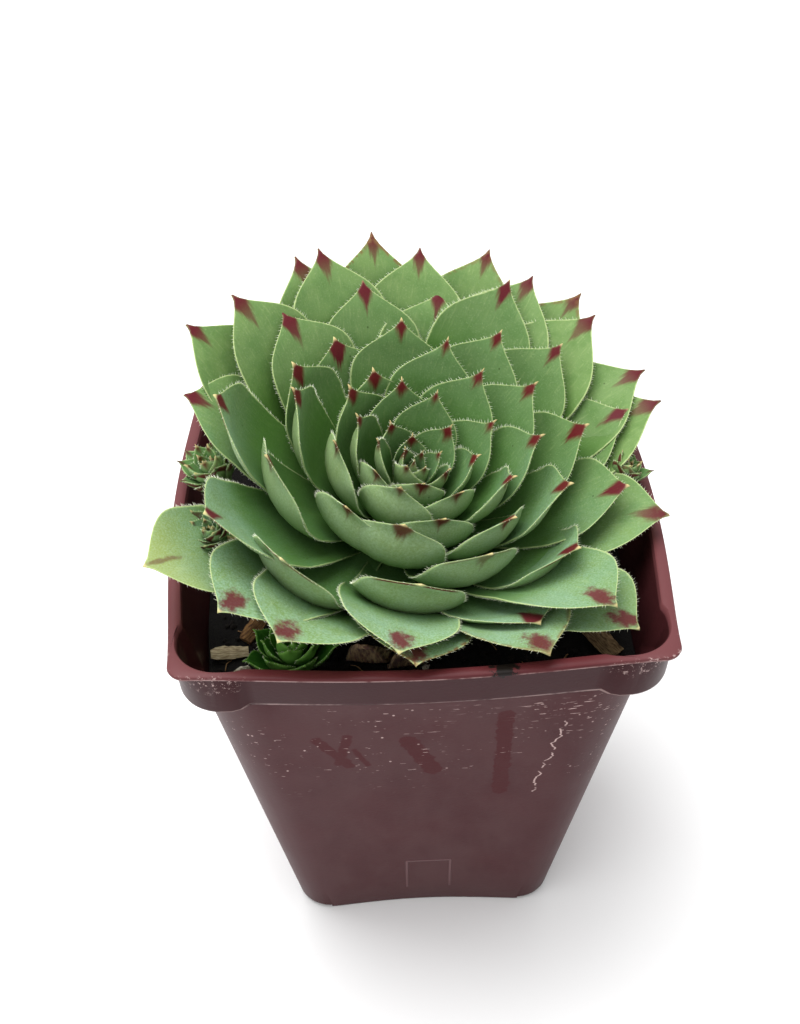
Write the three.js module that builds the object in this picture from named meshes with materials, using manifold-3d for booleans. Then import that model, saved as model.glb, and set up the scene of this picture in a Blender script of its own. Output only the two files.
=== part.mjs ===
// Hens and chicks (Sempervivum): a large rosette with its young ones, in a square nursery pot.
// Millimetres, +Z up, origin in the middle of the pot's underside, front of the pot towards -Y.
import * as THREE from 'three';
import { mergeVertices } from 'three/addons/utils/BufferGeometryUtils.js';
import Module from 'manifold-3d';

const wasm = await Module();
wasm.setup();

// ---- Driving dimensions -------------------------------------------------------------------------

const POT_HEIGHT = 91.5;
const RIM_HALF = 44.5; // half the width of the rim flange, which is 3.5 inches across
const BASE_HALF = 27.6;
const BODY_TOP_HALF = 41.5; // half width of the tapered body, just under the rim band
const BAND_HEIGHT = 10; // height of the band under the flange
const WALL = 1.4;
const FLOOR = 2.2;
const RIM_BOW = 2.3; // how far each side of the rim bulges
const LUG = 1.9; // how far the pocket at each corner of the band stands out at its foot
const FOOT_LIFT = 1.2; // how far the bottom corners stand clear of the ground
const FOOT_HALF = 20.3; // half length of the straight foot edge between two raised corners
const DRAIN_RADIUS = 2.6;
const DRAIN_CENTRE = 19.5; // distance of a drain hole from both middle planes

const CLEARANCE = 0.3; // between pieces that touch
const HEN_WELD = 0.08; // slivers smaller than this are merged where leaves are fused
const CHICK_WELD = 0.1;
const FOLD_DIGITS = 3; // points alike to this many decimals count as shared
const FOLD_STEP = 0.02;
const SOIL_TOP = POT_HEIGHT - 14;

// ---- Helpers ------------------------------------------------------------------------------------

const radians = THREE.MathUtils.degToRad;
const lerp = THREE.MathUtils.lerp;
const smoothstep = THREE.MathUtils.smoothstep;

// A fixed pseudo-random number from -1 to 1 for each pair of seeds.
function draw(index, seed) {
  const wave = Math.sin(index * 12.9898 + seed * 78.233) * 43758.5453;
  return 2 * (wave - Math.floor(wave)) - 1;
}

function meanPoint(points) {
  const sum = points.reduce((total, point) => total.add(point), new THREE.Vector3());
  return sum.divideScalar(points.length);
}

// A closed skin through rings of points, each seen anticlockwise from the last ring's end. Every
// four-sided patch is split from its first corner, or from its second if `crossed`.
function skinRings(
  rings,
  firstPoint = meanPoint(rings[0]),
  lastPoint = meanPoint(rings.at(-1)),
  crossed = false,
) {
  const count = rings[0].length;
  const points = [...rings.flat(), firstPoint, lastPoint];
  const first = points.length - 2;
  const last = points.length - 1;
  const top = (rings.length - 1) * count;
  const faces = [];
  for (let k = 0; k < count; k += 1) {
    const next = (k + 1) % count;
    faces.push(first, next, k);
    for (let low = 0; low < top; low += count) {
      const high = low + count;
      faces.push(low + k, low + next, high + (crossed ? k : next));
      faces.push(high + k, low + (crossed ? next : k), high + next);
    }
    faces.push(last, top + k, top + next);
  }
  const geometry = new THREE.BufferGeometry();
  const numbers = new Float32Array(points.flatMap((point) => point.toArray()));
  geometry.setAttribute('position', new THREE.BufferAttribute(numbers, 3));
  geometry.setIndex(faces);
  return geometry;
}

function solidOf(geometry) {
  const bare = geometry.clone();
  bare.deleteAttribute('normal');
  bare.deleteAttribute('uv');
  const merged = mergeVertices(bare);
  return new wasm.Manifold(new wasm.Mesh({
    numProp: 3,
    vertProperties: new Float32Array(merged.attributes.position.array),
    triVerts: new Uint32Array(merged.index.array),
  }));
}

// Draws a point that two folds of a surface share a little way into its own fold's face.
function partFolds({ vertProperties, triVerts }) {
  const seen = new Set();
  const point = (i) => new THREE.Vector3().fromArray(vertProperties, 3 * i);
  for (let i = 0; i < vertProperties.length / 3; i += 1) {
    const key = point(i).toArray().map((value) => value.toFixed(FOLD_DIGITS)).join(' ');
    if (seen.has(key)) {
      const face = 3 * Math.floor(triVerts.indexOf(i) / 3);
      const corners = [...triVerts.slice(face, face + 3)].map(point);
      const step = meanPoint(corners).sub(point(i)).setLength(FOLD_STEP);
      point(i).add(step).toArray(vertProperties, 3 * i);
    }
    seen.add(key);
  }
}

function geometryOf(solid) {
  const mesh = solid.getMesh();
  partFolds(mesh);
  const geometry = new THREE.BufferGeometry();
  geometry.setAttribute('position', new THREE.BufferAttribute(mesh.vertProperties, 3));
  geometry.setIndex(new THREE.BufferAttribute(mesh.triVerts, 1));
  return geometry;
}

// Joins overlapping solids and keeps the outer body: sealed hollows are filled, loose scraps dropped.
function fuse(geometries, weld) {
  const solids = geometries.map(solidOf);
  const joined = solids.reduce((all, solid) => all.add(solid)).asOriginal().simplify(weld);
  const bodies = joined.decompose().sort((a, b) => b.volume() - a.volume());
  return bodies[0];
}

// An upright round peg or hole.
function post(radius, bottom, top, x = 0, y = 0, sides = 16) {
  const geometry = new THREE.CylinderGeometry(radius, radius, top - bottom, sides);
  geometry.rotateX(Math.PI / 2);
  geometry.translate(x, y, (top + bottom) / 2);
  return geometry;
}

// ---- Pot ----------------------------------------------------------------------------------------

const SIDE_MARKS = [-1, -0.94, -0.86, -0.45, 0, 0.45, 0.86, 0.94];
const LUG_FROM = 0.9; // share of the straight side where a lug begins
const CORNER_STEPS = 6;

// A rounded square seen anticlockwise from above. `bow` pushes the middle of each side outwards and
// `lug` the corners with the ends of the sides. The marks of a side end `turned` radians round the
// corner's arc.
function squareRing({ height, half, corner, bow = 0, lug = 0, turned = 0 }) {
  const centre = half + lug - corner;
  const end = centre + corner * Math.sin(turned);
  const points = [];
  for (let side = 0; side < 4; side += 1) {
    const turn = (side * Math.PI) / 2;
    const place = (x, y) => new THREE.Vector3(
      x * Math.cos(turn) - y * Math.sin(turn),
      x * Math.sin(turn) + y * Math.cos(turn),
      height,
    );
    for (const mark of SIDE_MARKS) {
      const past = Math.max(Math.abs(end * mark) - centre, 0);
      const rounding = corner - Math.sqrt(corner * corner - past * past);
      const bulge = bow * (1 - mark * mark) ** 1.5 + (Math.abs(mark) > LUG_FROM ? lug : 0);
      points.push(place(half + bulge - rounding, end * mark));
    }
    for (let step = 0; step < CORNER_STEPS; step += 1) {
      const angle = lerp(turned, Math.PI / 2 - turned, step / CORNER_STEPS);
      points.push(place(centre + corner * Math.cos(angle), centre + corner * Math.sin(angle)));
    }
  }
  return points;
}

const BAND_FOOT = POT_HEIGHT - BAND_HEIGHT;
const BAND_STEP = 0.6; // height of the small step at the foot of the band
const BAND_TOP_HALF = 43.3; // half width of the band where it meets the flange
const BASE_BOW = -1.4; // the sides are hollow at the base and bulge under the rim
const BODY_BOW = 1.5;
const BODY_CORNER = 12;
const BASE_CORNER = 8;
const BODY_TURNED = radians(30); // brings the body's corner marks level with those of the lugs
const LUG_CORNER = 8;
const RIM_CORNER = 3.3;
const FLANGE = 1.1; // thickness of the flange

// A ring of the tapered body, `t` of the way from the base to the band, on its outside or inside.
function bodySection(height, t, wall = 0) {
  return {
    height,
    half: lerp(BASE_HALF, BODY_TOP_HALF, t) - wall,
    corner: lerp(BASE_CORNER, BODY_CORNER, t) - wall,
    bow: lerp(BASE_BOW, BODY_BOW, t),
    turned: BODY_TURNED,
  };
}

const POT_SECTIONS = [
  { ...bodySection(0, 0), half: BASE_HALF - 0.6 },
  bodySection(0.8, 0),
  bodySection(BAND_FOOT - BAND_STEP, 1),
  { height: BAND_FOOT, half: BODY_TOP_HALF + 0.1, corner: LUG_CORNER, bow: BODY_BOW + 0.3, lug: LUG },
  { height: POT_HEIGHT - FLANGE - 0.4, half: BAND_TOP_HALF, corner: LUG_CORNER, bow: 2.1, lug: 0.9 },
  { height: POT_HEIGHT - FLANGE, half: RIM_HALF - 0.4, corner: RIM_CORNER, bow: RIM_BOW },
  { height: POT_HEIGHT - FLANGE / 2, half: RIM_HALF, corner: RIM_CORNER, bow: RIM_BOW },
  { height: POT_HEIGHT, half: RIM_HALF - 0.4, corner: RIM_CORNER, bow: RIM_BOW },
  { height: POT_HEIGHT, half: BAND_TOP_HALF - 0.4, corner: LUG_CORNER, bow: 2.2, lug: 0.7 },
  { height: POT_HEIGHT - FLANGE, half: BAND_TOP_HALF - 1, corner: LUG_CORNER - 0.6, bow: 2.1, lug: 0.9 },
  {
    height: BAND_FOOT + 1,
    half: BODY_TOP_HALF + 0.3 - WALL,
    corner: LUG_CORNER - WALL,
    bow: BODY_BOW + 0.3,
    lug: LUG - 0.2,
  },
  bodySection(BAND_FOOT - BAND_STEP, 1, WALL),
  bodySection(FLOOR, 0, WALL),
];

function potGeometry() {
  let pot = solidOf(skinRings(POT_SECTIONS.map(squareRing)));
  for (const x of [-1, 1]) {
    for (const y of [-1, 1]) {
      const size = BASE_HALF + 2 - FOOT_HALF;
      const notch = new THREE.BoxGeometry(size, size, 2 * FOOT_LIFT);
      notch.translate(x * (FOOT_HALF + size / 2), y * (FOOT_HALF + size / 2), 0);
      const drain = post(DRAIN_RADIUS, -1, FLOOR + 1, x * DRAIN_CENTRE, y * DRAIN_CENTRE, 12);
      pot = pot.subtract(solidOf(notch)).subtract(solidOf(drain));
    }
  }
  return geometryOf(pot);
}

// ---- Rosettes -----------------------------------------------------------------------------------

// A plan holds a rosette's rule. Its stations say, for some leaf numbers from the middle out, how
// far out and how high the leaf's point and base are, and the angles at which it starts and ends.

// Reads one value of a plan's stations at any leaf number, on a smooth curve through the stations.
function along(stations, leaf, key) {
  let k = 0;
  while (k + 2 < stations.length && stations[k + 1].leaf <= leaf) k += 1;
  const at = (i) => stations[THREE.MathUtils.clamp(i, 0, stations.length - 1)];
  const slope = (i) => (at(i + 1)[key] - at(i - 1)[key]) / (at(i + 1).leaf - at(i - 1).leaf);
  const span = at(k + 1).leaf - at(k).leaf;
  const s = (leaf - at(k).leaf) / span;
  return (1 + 2 * s) * (1 - s) ** 2 * at(k)[key]
    + s * (1 - s) ** 2 * span * slope(k)
    + s * s * (3 - 2 * s) * at(k + 1)[key]
    + s * s * (s - 1) * span * slope(k + 1);
}

const CUSP = 0.12; // how much of the outline runs straight to the leaf's sharp point
const BEAK_FROM = 0.85; // share of the leaf's length from which its point bends back
const STEEPEST = 54; // degrees by which the front leaves of the middle curl up more than the rest

// Half the leaf's width at `t` from base (0) to point (1), as a share of its widest half width.
function outline(t, { widest, shoulder, base }) {
  if (t < widest) return lerp(base, 1, Math.sin((t / widest) * (Math.PI / 2)));
  const s = (t - widest) / (1 - widest);
  return lerp(0.5 + 0.5 * Math.cos(Math.PI * s ** shoulder), 1 - s, CUSP);
}

// Share of the full thickness at `t`.
function fullness(t) {
  return lerp(0.75, 1, smoothstep(t, 0, 0.5)) * (1 - 0.7 * smoothstep(t, 0.6, 1));
}

// One leaf: a cupped blade along an arched line from the core to its point.
function leafGeometry(plan, leaf) {
  const value = (key) => along(plan.stations, leaf, key);
  const azimuth = radians(plan.firstAzimuth + leaf * plan.divergence + (plan.turned[leaf] ?? 0));
  const length = plan.length(azimuth, leaf);
  const droop = radians(plan.droop(azimuth, leaf));
  const upright = plan.upright(azimuth, leaf);
  const startAngle = radians(value('start') - 0.4 * upright) - droop;
  const endAngle = radians(value('end') + 0.65 * upright) - droop;
  const beak = plan.beak(leaf) + 2.4 * Math.max(upright, 0) / STEEPEST;
  const form = { widest: plan.widest(leaf), shoulder: plan.shoulder(azimuth, leaf), base: plan.base };
  const base = new THREE.Vector2(value('baseRadius'), value('baseHeight'));
  const point = new THREE.Vector2(value('tipRadius'), value('tipHeight'));
  point.lerpVectors(base, point, length).rotateAround(base, -droop);
  const reach = 0.4 * base.distanceTo(point);
  point.x -= beak * Math.sin(endAngle);
  point.y += beak * Math.cos(endAngle);
  const line = new THREE.CubicBezierCurve(
    base,
    new THREE.Vector2(base.x + reach * Math.cos(startAngle), base.y + reach * Math.sin(startAngle)),
    new THREE.Vector2(point.x - reach * Math.cos(endAngle), point.y - reach * Math.sin(endAngle)),
    point,
  );
  const halfWidth = plan.halfWidth(leaf);
  const thickness = plan.thickness(leaf);

  const place = (t, across, lift) => {
    const centre = line.getPoint(t);
    const tangent = line.getTangent(t);
    const innermost = Math.max(centre.x, 1) / Math.max(tangent.y, 0.3);
    const cupRadius = Math.min(plan.cupRadius(leaf), innermost);
    const angle = (halfWidth * outline(t, form) * across) / cupRadius;
    const bend = beak * (Math.max(t - BEAK_FROM, 0) / (1 - BEAK_FROM)) ** 2;
    const rise = cupRadius * (1 - Math.cos(angle)) + lift * thickness * fullness(t) - bend;
    const out = centre.x - tangent.y * rise;
    const side = cupRadius * Math.sin(angle);
    return new THREE.Vector3(
      out * Math.cos(azimuth) - side * Math.sin(azimuth),
      out * Math.sin(azimuth) + side * Math.cos(azimuth),
      centre.y + tangent.x * rise,
    );
  };

  const { rows, section } = plan.detail(leaf);
  const rings = rows.map((t) => section.map(([across, lift]) => place(t, across, lift)));
  return skinRings(rings, place(rows[0], 0, 0), place(1, 0, 0));
}

// The short swollen stem end that the leaves grow from.
function coreGeometry(plan) {
  const { stations, coreMargin } = plan;
  const shell = stations.map((at) => new THREE.Vector2(at.baseRadius + coreMargin, at.baseHeight + 0.5));
  const low = shell.at(-1);
  const profile = [
    new THREE.Vector2(0, low.y - 2 * coreMargin),
    new THREE.Vector2(low.x * 0.7, low.y - 2 * coreMargin),
    ...shell.reverse(),
    new THREE.Vector2(0, stations[0].baseHeight + coreMargin),
  ];
  const geometry = new THREE.LatheGeometry(profile, plan.coreSides);
  geometry.rotateX(Math.PI / 2);
  return geometry;
}

// Rotation of a rosette that leans towards the front (-Y) and towards the right (+X), in degrees.
function leaning(forward, right) {
  const sideways = new THREE.Matrix4().makeRotationY(radians(right));
  return sideways.multiply(new THREE.Matrix4().makeRotationX(radians(forward)));
}

function rosette(plan, count, pose) {
  const kept = Array.from({ length: count }, (_, leaf) => leaf).filter((leaf) => !plan.lost.includes(leaf));
  const pieces = kept.map((leaf) => leafGeometry(plan, leaf));
  pieces.push(coreGeometry(plan));
  pieces.forEach((geometry) => geometry.applyMatrix4(pose));
  return pieces;
}

// A stem or runner through a list of points, with level rings.
function stem(path, radius, sides = 8) {
  const rings = path.map(([x, y, z]) => Array.from({ length: sides }, (_, k) => {
    const angle = (2 * Math.PI * k) / sides;
    return new THREE.Vector3(x + radius * Math.cos(angle), y + radius * Math.sin(angle), z);
  }));
  return skinRings(rings);
}

// ---- The hen (mother rosette) -------------------------------------------------------------------

const HEN_LEAVES = 92;
const HEN_STEM = { x: -5.3, y: 3.7, radius: 3.5, foot: SOIL_TOP - 16 };
const HEN_PIT = { floor: -16.8, radius: 11.5, slope: 0.5, height: 14 }; // in the hen's own frame
const HEN_POSE = leaning(12, 13.4).setPosition(-1.8, 0.5, POT_HEIGHT);

// Leaves shed with age, leaves that sag below the rule or are turned aside (degrees), and leaves
// longer or shorter than the rule.
const LOST = [50, 52, 54, 55, 56, 57, 59, 60, 65, 67, 68, 70, 72, 76, 88, 89];
const SAG = {
  8: 5, 13: 4, 18: -4, 26: 6, 31: -4, 32: -4, 34: 3, 36: -2, 39: 9, 44: -3, 45: -3, 47: 4, 48: -2.2,
  49: 4, 51: 2, 58: -3, 61: 1, 62: -3, 63: 2, 64: 2, 69: -1, 71: -3, 73: 3, 74: 1, 75: 3, 77: -2,
  78: -4, 81: 8, 82: 2.5, 83: -3, 86: -1, 87: 2, 90: 2, 91: -3,
};
const GROWTH = {
  6: 0.92, 8: 1.1, 11: 0.93, 13: 0.93, 18: 1.02, 20: 1.06, 21: 0.93, 25: 1.06, 26: 0.95, 29: 1.06,
  32: 0.84, 35: 0.97, 39: 1.14, 40: 0.92, 42: 1.05, 45: 0.91, 47: 1.05, 48: 1.039, 53: 1.015,
  61: 0.843, 62: 1.03, 63: 0.86, 64: 1.04, 66: 1.17, 69: 0.96, 71: 1.12, 73: 0.97, 74: 1.005,
  77: 0.97, 79: 1.15, 80: 0.94, 81: 0.9, 82: 0.996, 84: 1.05, 86: 1.02, 87: 1.1, 90: 0.98, 91: 0.95,
};
const TURNED = {
  5: -6, 6: 5, 8: -2, 13: 3, 19: -4, 21: 3, 25: 2, 26: 5, 27: -8, 32: -2, 35: -5, 36: 3, 39: -4,
  45: -5, 48: -8.4, 51: -3, 58: -4, 61: -0.6, 62: 5, 63: 2, 64: -4, 71: -4, 73: -3, 74: -3.5, 77: 4,
  79: -4, 81: 2, 82: 2.6, 84: -2, 87: -2, 90: 2, 91: -5,
};

const FULL_LEAF = {
  rows: [0, 0.32, 0.56, 0.74, 0.86, 0.94],
  section: [[1, 0], [0.5, 0.1], [-0.5, 0.1], [-1, 0], [0, -0.9]],
};
const PLAIN_LEAF = {
  rows: [0, 0.4, 0.7, 0.9],
  section: [[1, 0], [0, 0.1], [-1, 0], [0, -0.9]],
};

// Degrees by which a middle leaf of the hen curls up more, up to STEEPEST in front.
function steeper(azimuth) {
  return 22 + 32 * Math.cos(azimuth - radians(255));
}

const HEN = {
  firstAzimuth: 208.65,
  divergence: -137.746,
  stations: [
    { leaf: 0, tipRadius: 1.1, tipHeight: 13.4, baseRadius: 0.6, baseHeight: 3, start: 88, end: 96 },
    { leaf: 6, tipRadius: 5.6, tipHeight: 15.6, baseRadius: 2.6, baseHeight: 2.6, start: 78, end: 92 },
    { leaf: 16, tipRadius: 14, tipHeight: 19.3, baseRadius: 5.2, baseHeight: 1.2, start: 58, end: 88 },
    { leaf: 32, tipRadius: 27, tipHeight: 22.2, baseRadius: 8, baseHeight: -2, start: 43, end: 80 },
    { leaf: 44, tipRadius: 37.5, tipHeight: 20.8, baseRadius: 9.2, baseHeight: -4.6, start: 36, end: 72 },
    { leaf: 58, tipRadius: 47, tipHeight: 20, baseRadius: 9.8, baseHeight: -7.6, start: 33, end: 36 },
    { leaf: 92, tipRadius: 53, tipHeight: 19, baseRadius: 9.4, baseHeight: -14, start: 32, end: 36 },
  ],
  // Leaves are longer towards the back right, the front and the left.
  length: (azimuth, leaf) => (GROWTH[leaf] ?? 1) * (1 + Math.min(leaf / 20, 1)
    * (0.08 * Math.sin(2 * azimuth + 0.41) - 0.072 * Math.cos(3 * azimuth - 0.9))),
  // Outer leaves stand up at the back and lie lower in front.
  droop: (azimuth, leaf) => (SAG[leaf] ?? 0) - 3.6 * smoothstep(leaf, 40, 70) * Math.sin(azimuth + 0.6),
  // Middle leaves curl up more steeply (degrees), in front and on the left most of all.
  upright: (azimuth, leaf) => {
    const last = 44 - 4 * Math.cos(2 * azimuth - radians(370));
    const share = smoothstep(leaf, 4, 16) * (1 - smoothstep(leaf, last - 4, last + 5));
    return share * steeper(azimuth);
  },
  beak: (leaf) => lerp(0.4, 1.6, smoothstep(leaf, 0, 30)),
  widest: (leaf) => lerp(0.45, 0.68, smoothstep(leaf, 10, 46)),
  cupRadius: (leaf) => 11 + 13 * smoothstep(leaf, 6, 30) + 4 * smoothstep(leaf, 42, 72),
  shoulder: (azimuth, leaf) => (
    1.6 + 1.5 * smoothstep(leaf, 4, 16) * Math.max(steeper(azimuth), 0) / STEEPEST
  ),
  base: 0.4,
  halfWidth: (leaf) => 11.2 - 9.2 * Math.exp(-leaf / 18),
  thickness: (leaf) => 0.9 + smoothstep(leaf, 0, 30),
  lost: LOST,
  turned: TURNED,
  coreMargin: 1.4,
  coreSides: 16,
  detail: (leaf) => (leaf < 24 ? PLAIN_LEAF : FULL_LEAF),
};

// ---- The chicks ---------------------------------------------------------------------------------

const CHICK = {
  firstAzimuth: 20,
  divergence: 137.5,
  stations: [
    { leaf: 0, tipRadius: 0.4, tipHeight: 5.6, baseRadius: 0.3, baseHeight: 1.4, start: 88, end: 94 },
    { leaf: 7, tipRadius: 3.6, tipHeight: 7, baseRadius: 1.1, baseHeight: 0.8, start: 62, end: 84 },
    { leaf: 20, tipRadius: 9.6, tipHeight: 5, baseRadius: 1.8, baseHeight: -1.2, start: 34, end: 34 },
  ],
  length: (azimuth, leaf) => 1 + 0.1 * draw(leaf, 3),
  droop: (azimuth, leaf) => 5 * draw(leaf, 4),
  upright: () => 0,
  beak: () => 0.3,
  widest: () => 0.55,
  cupRadius: (leaf) => lerp(3.2, 6, smoothstep(leaf, 0, 18)),
  shoulder: () => 1.3,
  base: 0.5,
  halfWidth: (leaf) => 2.9 - 2 * Math.exp(-leaf / 6),
  thickness: () => 1.05,
  lost: [],
  turned: {},
  coreMargin: 0.7,
  coreSides: 8,
  detail: () => PLAIN_LEAF,
};

const CHICK_STEM_RADIUS = 1.2;
const CHICK_STEM_FOOT = SOIL_TOP - 8;

// Each chick: where its core is, how it leans, its size, its leaf count and the path of its stem.
const CHICKS = {
  chick_front: {
    centre: [-23.4, -30.9, POT_HEIGHT - 10.9],
    lean: [3, -5],
    turn: 10,
    size: 1.15,
    count: 19,
    path: [[-23.4, -30.9, CHICK_STEM_FOOT], [-23.4, -30.9, POT_HEIGHT - 10.9]],
  },
  chick_left: {
    centre: [-38, 7, POT_HEIGHT + 2],
    lean: [0, -24],
    turn: 70,
    size: 1,
    count: 18,
    path: [
      [-32, 5, CHICK_STEM_FOOT],
      [-32, 5, SOIL_TOP + 1],
      [-34, 5.6, SOIL_TOP + 8],
      [-38, 7, POT_HEIGHT + 1.5],
    ],
  },
};

function chickPose({ centre, lean, turn, size }) {
  const pose = leaning(...lean).multiply(new THREE.Matrix4().makeRotationZ(radians(turn)));
  return pose.scale(new THREE.Vector3(size, size, size)).setPosition(...centre);
}

function chickGeometry(chick) {
  const head = rosette(CHICK, chick.count, chickPose(chick));
  return geometryOf(fuse([...head, stem(chick.path, CHICK_STEM_RADIUS)], CHICK_WELD));
}

// Two buds too close among the hen's leaves to be free of them: one on the left leaf's base, one
// on a runner that comes out between two leaves on the right.
const BUDS = [
  {
    centre: [-36.5, -18.2, POT_HEIGHT + 8.2],
    lean: [14, -14],
    turn: 35,
    size: 0.8,
    count: 14,
    path: [[-31, -15, POT_HEIGHT + 3], [-36.5, -18.2, POT_HEIGHT + 8.2]],
  },
  {
    centre: [40.5, 2.5, POT_HEIGHT + 2],
    lean: [0, 26],
    turn: 120,
    size: 0.75,
    count: 14,
    path: [
      [-2, 2, SOIL_TOP - 1],
      [22, 1, POT_HEIGHT - 8],
      [34, 2, POT_HEIGHT - 2],
      [40.5, 2.5, POT_HEIGHT + 2],
    ],
  },
];

function henGeometry() {
  const { x, y, radius, foot } = HEN_STEM;
  const pieces = rosette(HEN, HEN_LEAVES, HEN_POSE);
  pieces.push(post(radius, foot, SOIL_TOP, x, y));
  for (const bud of BUDS) {
    pieces.push(...rosette(CHICK, bud.count, chickPose(bud)));
    pieces.push(stem(bud.path, CHICK_STEM_RADIUS));
  }
  return geometryOf(fuse(pieces, HEN_WELD));
}

// ---- Loose bits ---------------------------------------------------------------------------------

// A rough chip: rings of five jittered points along X, `swell` bigger all round when cutting.
function chipGeometry({ size: [length, width, thickness], at, turn, seed }, swell = 0) {
  const rings = [-1, -0.45, 0.35, 1].map((along, row) => Array.from({ length: 5 }, (_, k) => {
    const angle = (2 * Math.PI * k) / 5 + 0.3;
    const rough = 1 + 0.22 * draw(5 * row + k, seed);
    const taper = 1 - 0.35 * along * along;
    return new THREE.Vector3(
      (length / 2) * along + 0.1 * length * draw(5 * row + k, seed + 1) * (1 - Math.abs(along)),
      (width / 2) * rough * taper * Math.cos(angle),
      (thickness / 2) * rough * taper * Math.sin(angle),
    );
  }));
  const geometry = skinRings(rings);
  const grown = (extent) => (extent + 2 * swell) / extent;
  geometry.scale(grown(length), grown(width * 0.7), grown(thickness * 0.7));
  geometry.rotateX(radians(turn[0]));
  geometry.rotateY(radians(turn[1]));
  geometry.rotateZ(radians(turn[2]));
  geometry.translate(...at);
  return geometry;
}

// Turns are about the chip's length, then its tip up or down, then round.
const CHIPS = {
  wood_splinter: { size: [7, 3, 2], at: [-35.6, -25.8, SOIL_TOP + 0.7], turn: [10, 4, 8], seed: 11 },
  bark_left: { size: [7, 4.4, 3], at: [-31, -19.2, SOIL_TOP + 0.8], turn: [0, -14, 55], seed: 12 },
  bark_right: { size: [8, 5, 3.4], at: [33.5, -27, SOIL_TOP + 1.2], turn: [20, 18, -50], seed: 13 },
  perlite_front: { size: [3.2, 2.8, 2.4], at: [-33, -31, SOIL_TOP + 0.7], turn: [0, 0, 30], seed: 14 },
};

// Withered lower leaves: thin waved blades that stand in the soil against each other in front.
const DRY_BLADE = { length: 15, halfWidth: 4.2, thickness: 0.8, steps: 6 };
const DRY_LEAVES = [
  { foot: [-9, -24.5], azimuth: -100, slope: 46 },
  { foot: [-3, -24.8], azimuth: -84, slope: 40 },
];

function dryLeafGeometry({ foot: [x, y], azimuth, slope }, index, swell = 0) {
  const { length, halfWidth, thickness, steps } = DRY_BLADE;
  const rings = Array.from({ length: steps + 1 }, (_, row) => {
    const t = row / steps;
    const out = lerp(-swell, length + swell, t);
    const half = halfWidth * (0.55 + 0.45 * Math.sin(Math.PI * Math.min(t * 0.75 + 0.1, 1))) + swell;
    const lift = 1.2 * Math.sin(2.6 * Math.PI * t + index);
    return [[1, 1], [-1, 1], [-1, -1], [1, -1]].map(([across, face]) => new THREE.Vector3(
      out,
      half * across * (1 - 0.75 * t ** 4),
      lift + face * (thickness / 2 + swell),
    ));
  });
  const geometry = skinRings(rings);
  geometry.rotateY(-radians(slope));
  geometry.rotateZ(radians(azimuth));
  geometry.translate(x, y, SOIL_TOP - 2.5);
  return geometry;
}

function dryGeometry() {
  return geometryOf(fuse(DRY_LEAVES.map((dry, index) => dryLeafGeometry(dry, index)), HEN_WELD));
}

// ---- Soil ---------------------------------------------------------------------------------------

const SOIL_SHARES = [0.9, 0.74, 0.56, 0.38, 0.2]; // rings of surface points, as shares of the edge ring

// Height of the soil's lumpy surface.
function soilSurface(x, y) {
  return SOIL_TOP + 0.5 * Math.sin(x / 3.1 + 1) * Math.cos(y / 2.7) + 0.35 * Math.sin(x / 1.9 + y / 2.3);
}

// The hollow that the hen's underside has pressed in the soil.
function pitGeometry() {
  const { floor, radius, slope, height } = HEN_PIT;
  const pit = new THREE.CylinderGeometry(radius + height / slope, radius, height, 24);
  pit.rotateX(Math.PI / 2);
  pit.translate(0, 0, floor + height / 2);
  return pit.applyMatrix4(HEN_POSE);
}

// The pot's inside at a height, drawn in by the clearance.
function soilRing(height) {
  const t = (height - FLOOR) / (BAND_FOOT - BAND_STEP - FLOOR);
  return squareRing(bodySection(height, t, WALL + CLEARANCE));
}

function soilGeometry() {
  const top = soilRing(SOIL_TOP);
  const rings = [soilRing(FLOOR + CLEARANCE), top];
  for (const share of SOIL_SHARES) {
    rings.push(top.map(({ x, y }) => new THREE.Vector3(
      x * share,
      y * share,
      soilSurface(x * share, y * share),
    )));
  }
  const middle = new THREE.Vector3(0, 0, soilSurface(0, 0));
  let soil = solidOf(skinRings(rings, undefined, middle, true));
  const holes = [
    pitGeometry(),
    post(HEN_STEM.radius + CLEARANCE, HEN_STEM.foot - CLEARANCE, SOIL_TOP + 5, HEN_STEM.x, HEN_STEM.y),
    ...Object.values(CHICKS).map(({ path: [[x, y, foot]] }) => (
      post(CHICK_STEM_RADIUS + CLEARANCE, foot - CLEARANCE, SOIL_TOP + 5, x, y, 8))),
    ...Object.values(CHIPS).map((chip) => chipGeometry(chip, CLEARANCE)),
    ...DRY_LEAVES.map((dry, index) => dryLeafGeometry(dry, index, CLEARANCE)),
  ];
  for (const hole of holes) soil = soil.subtract(solidOf(hole));
  return geometryOf(soil);
}

// ---- Assembly -----------------------------------------------------------------------------------

const part = new THREE.Group();

function addPiece(name, geometry, color, roughness) {
  const material = new THREE.MeshStandardMaterial({ color, roughness, metalness: 0 });
  const mesh = new THREE.Mesh(geometry, material);
  mesh.name = name;
  part.add(mesh);
}

addPiece('pot', potGeometry(), 0x5c3a3e, 0.45);
addPiece('soil', soilGeometry(), 0x2b221c, 0.95);
addPiece('hen_rosette', henGeometry(), 0x6f9c64, 0.55);
for (const [name, chick] of Object.entries(CHICKS)) {
  addPiece(name, chickGeometry(chick), 0x5f9a4c, 0.55);
}
addPiece('wood_splinter', chipGeometry(CHIPS.wood_splinter), 0xb59a72, 0.9);
addPiece('bark_left', chipGeometry(CHIPS.bark_left), 0x7a5238, 0.9);
addPiece('bark_right', chipGeometry(CHIPS.bark_right), 0x9a7650, 0.9);
addPiece('perlite_front', chipGeometry(CHIPS.perlite_front), 0xe8e6e0, 0.85);
addPiece('dry_leaves', dryGeometry(), 0xb08a5c, 0.8);

export default part;
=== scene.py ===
from math import cos, exp, hypot, pi, radians, sin

import bpy
import numpy as np
from mathutils import Euler, Matrix, Vector


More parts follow.
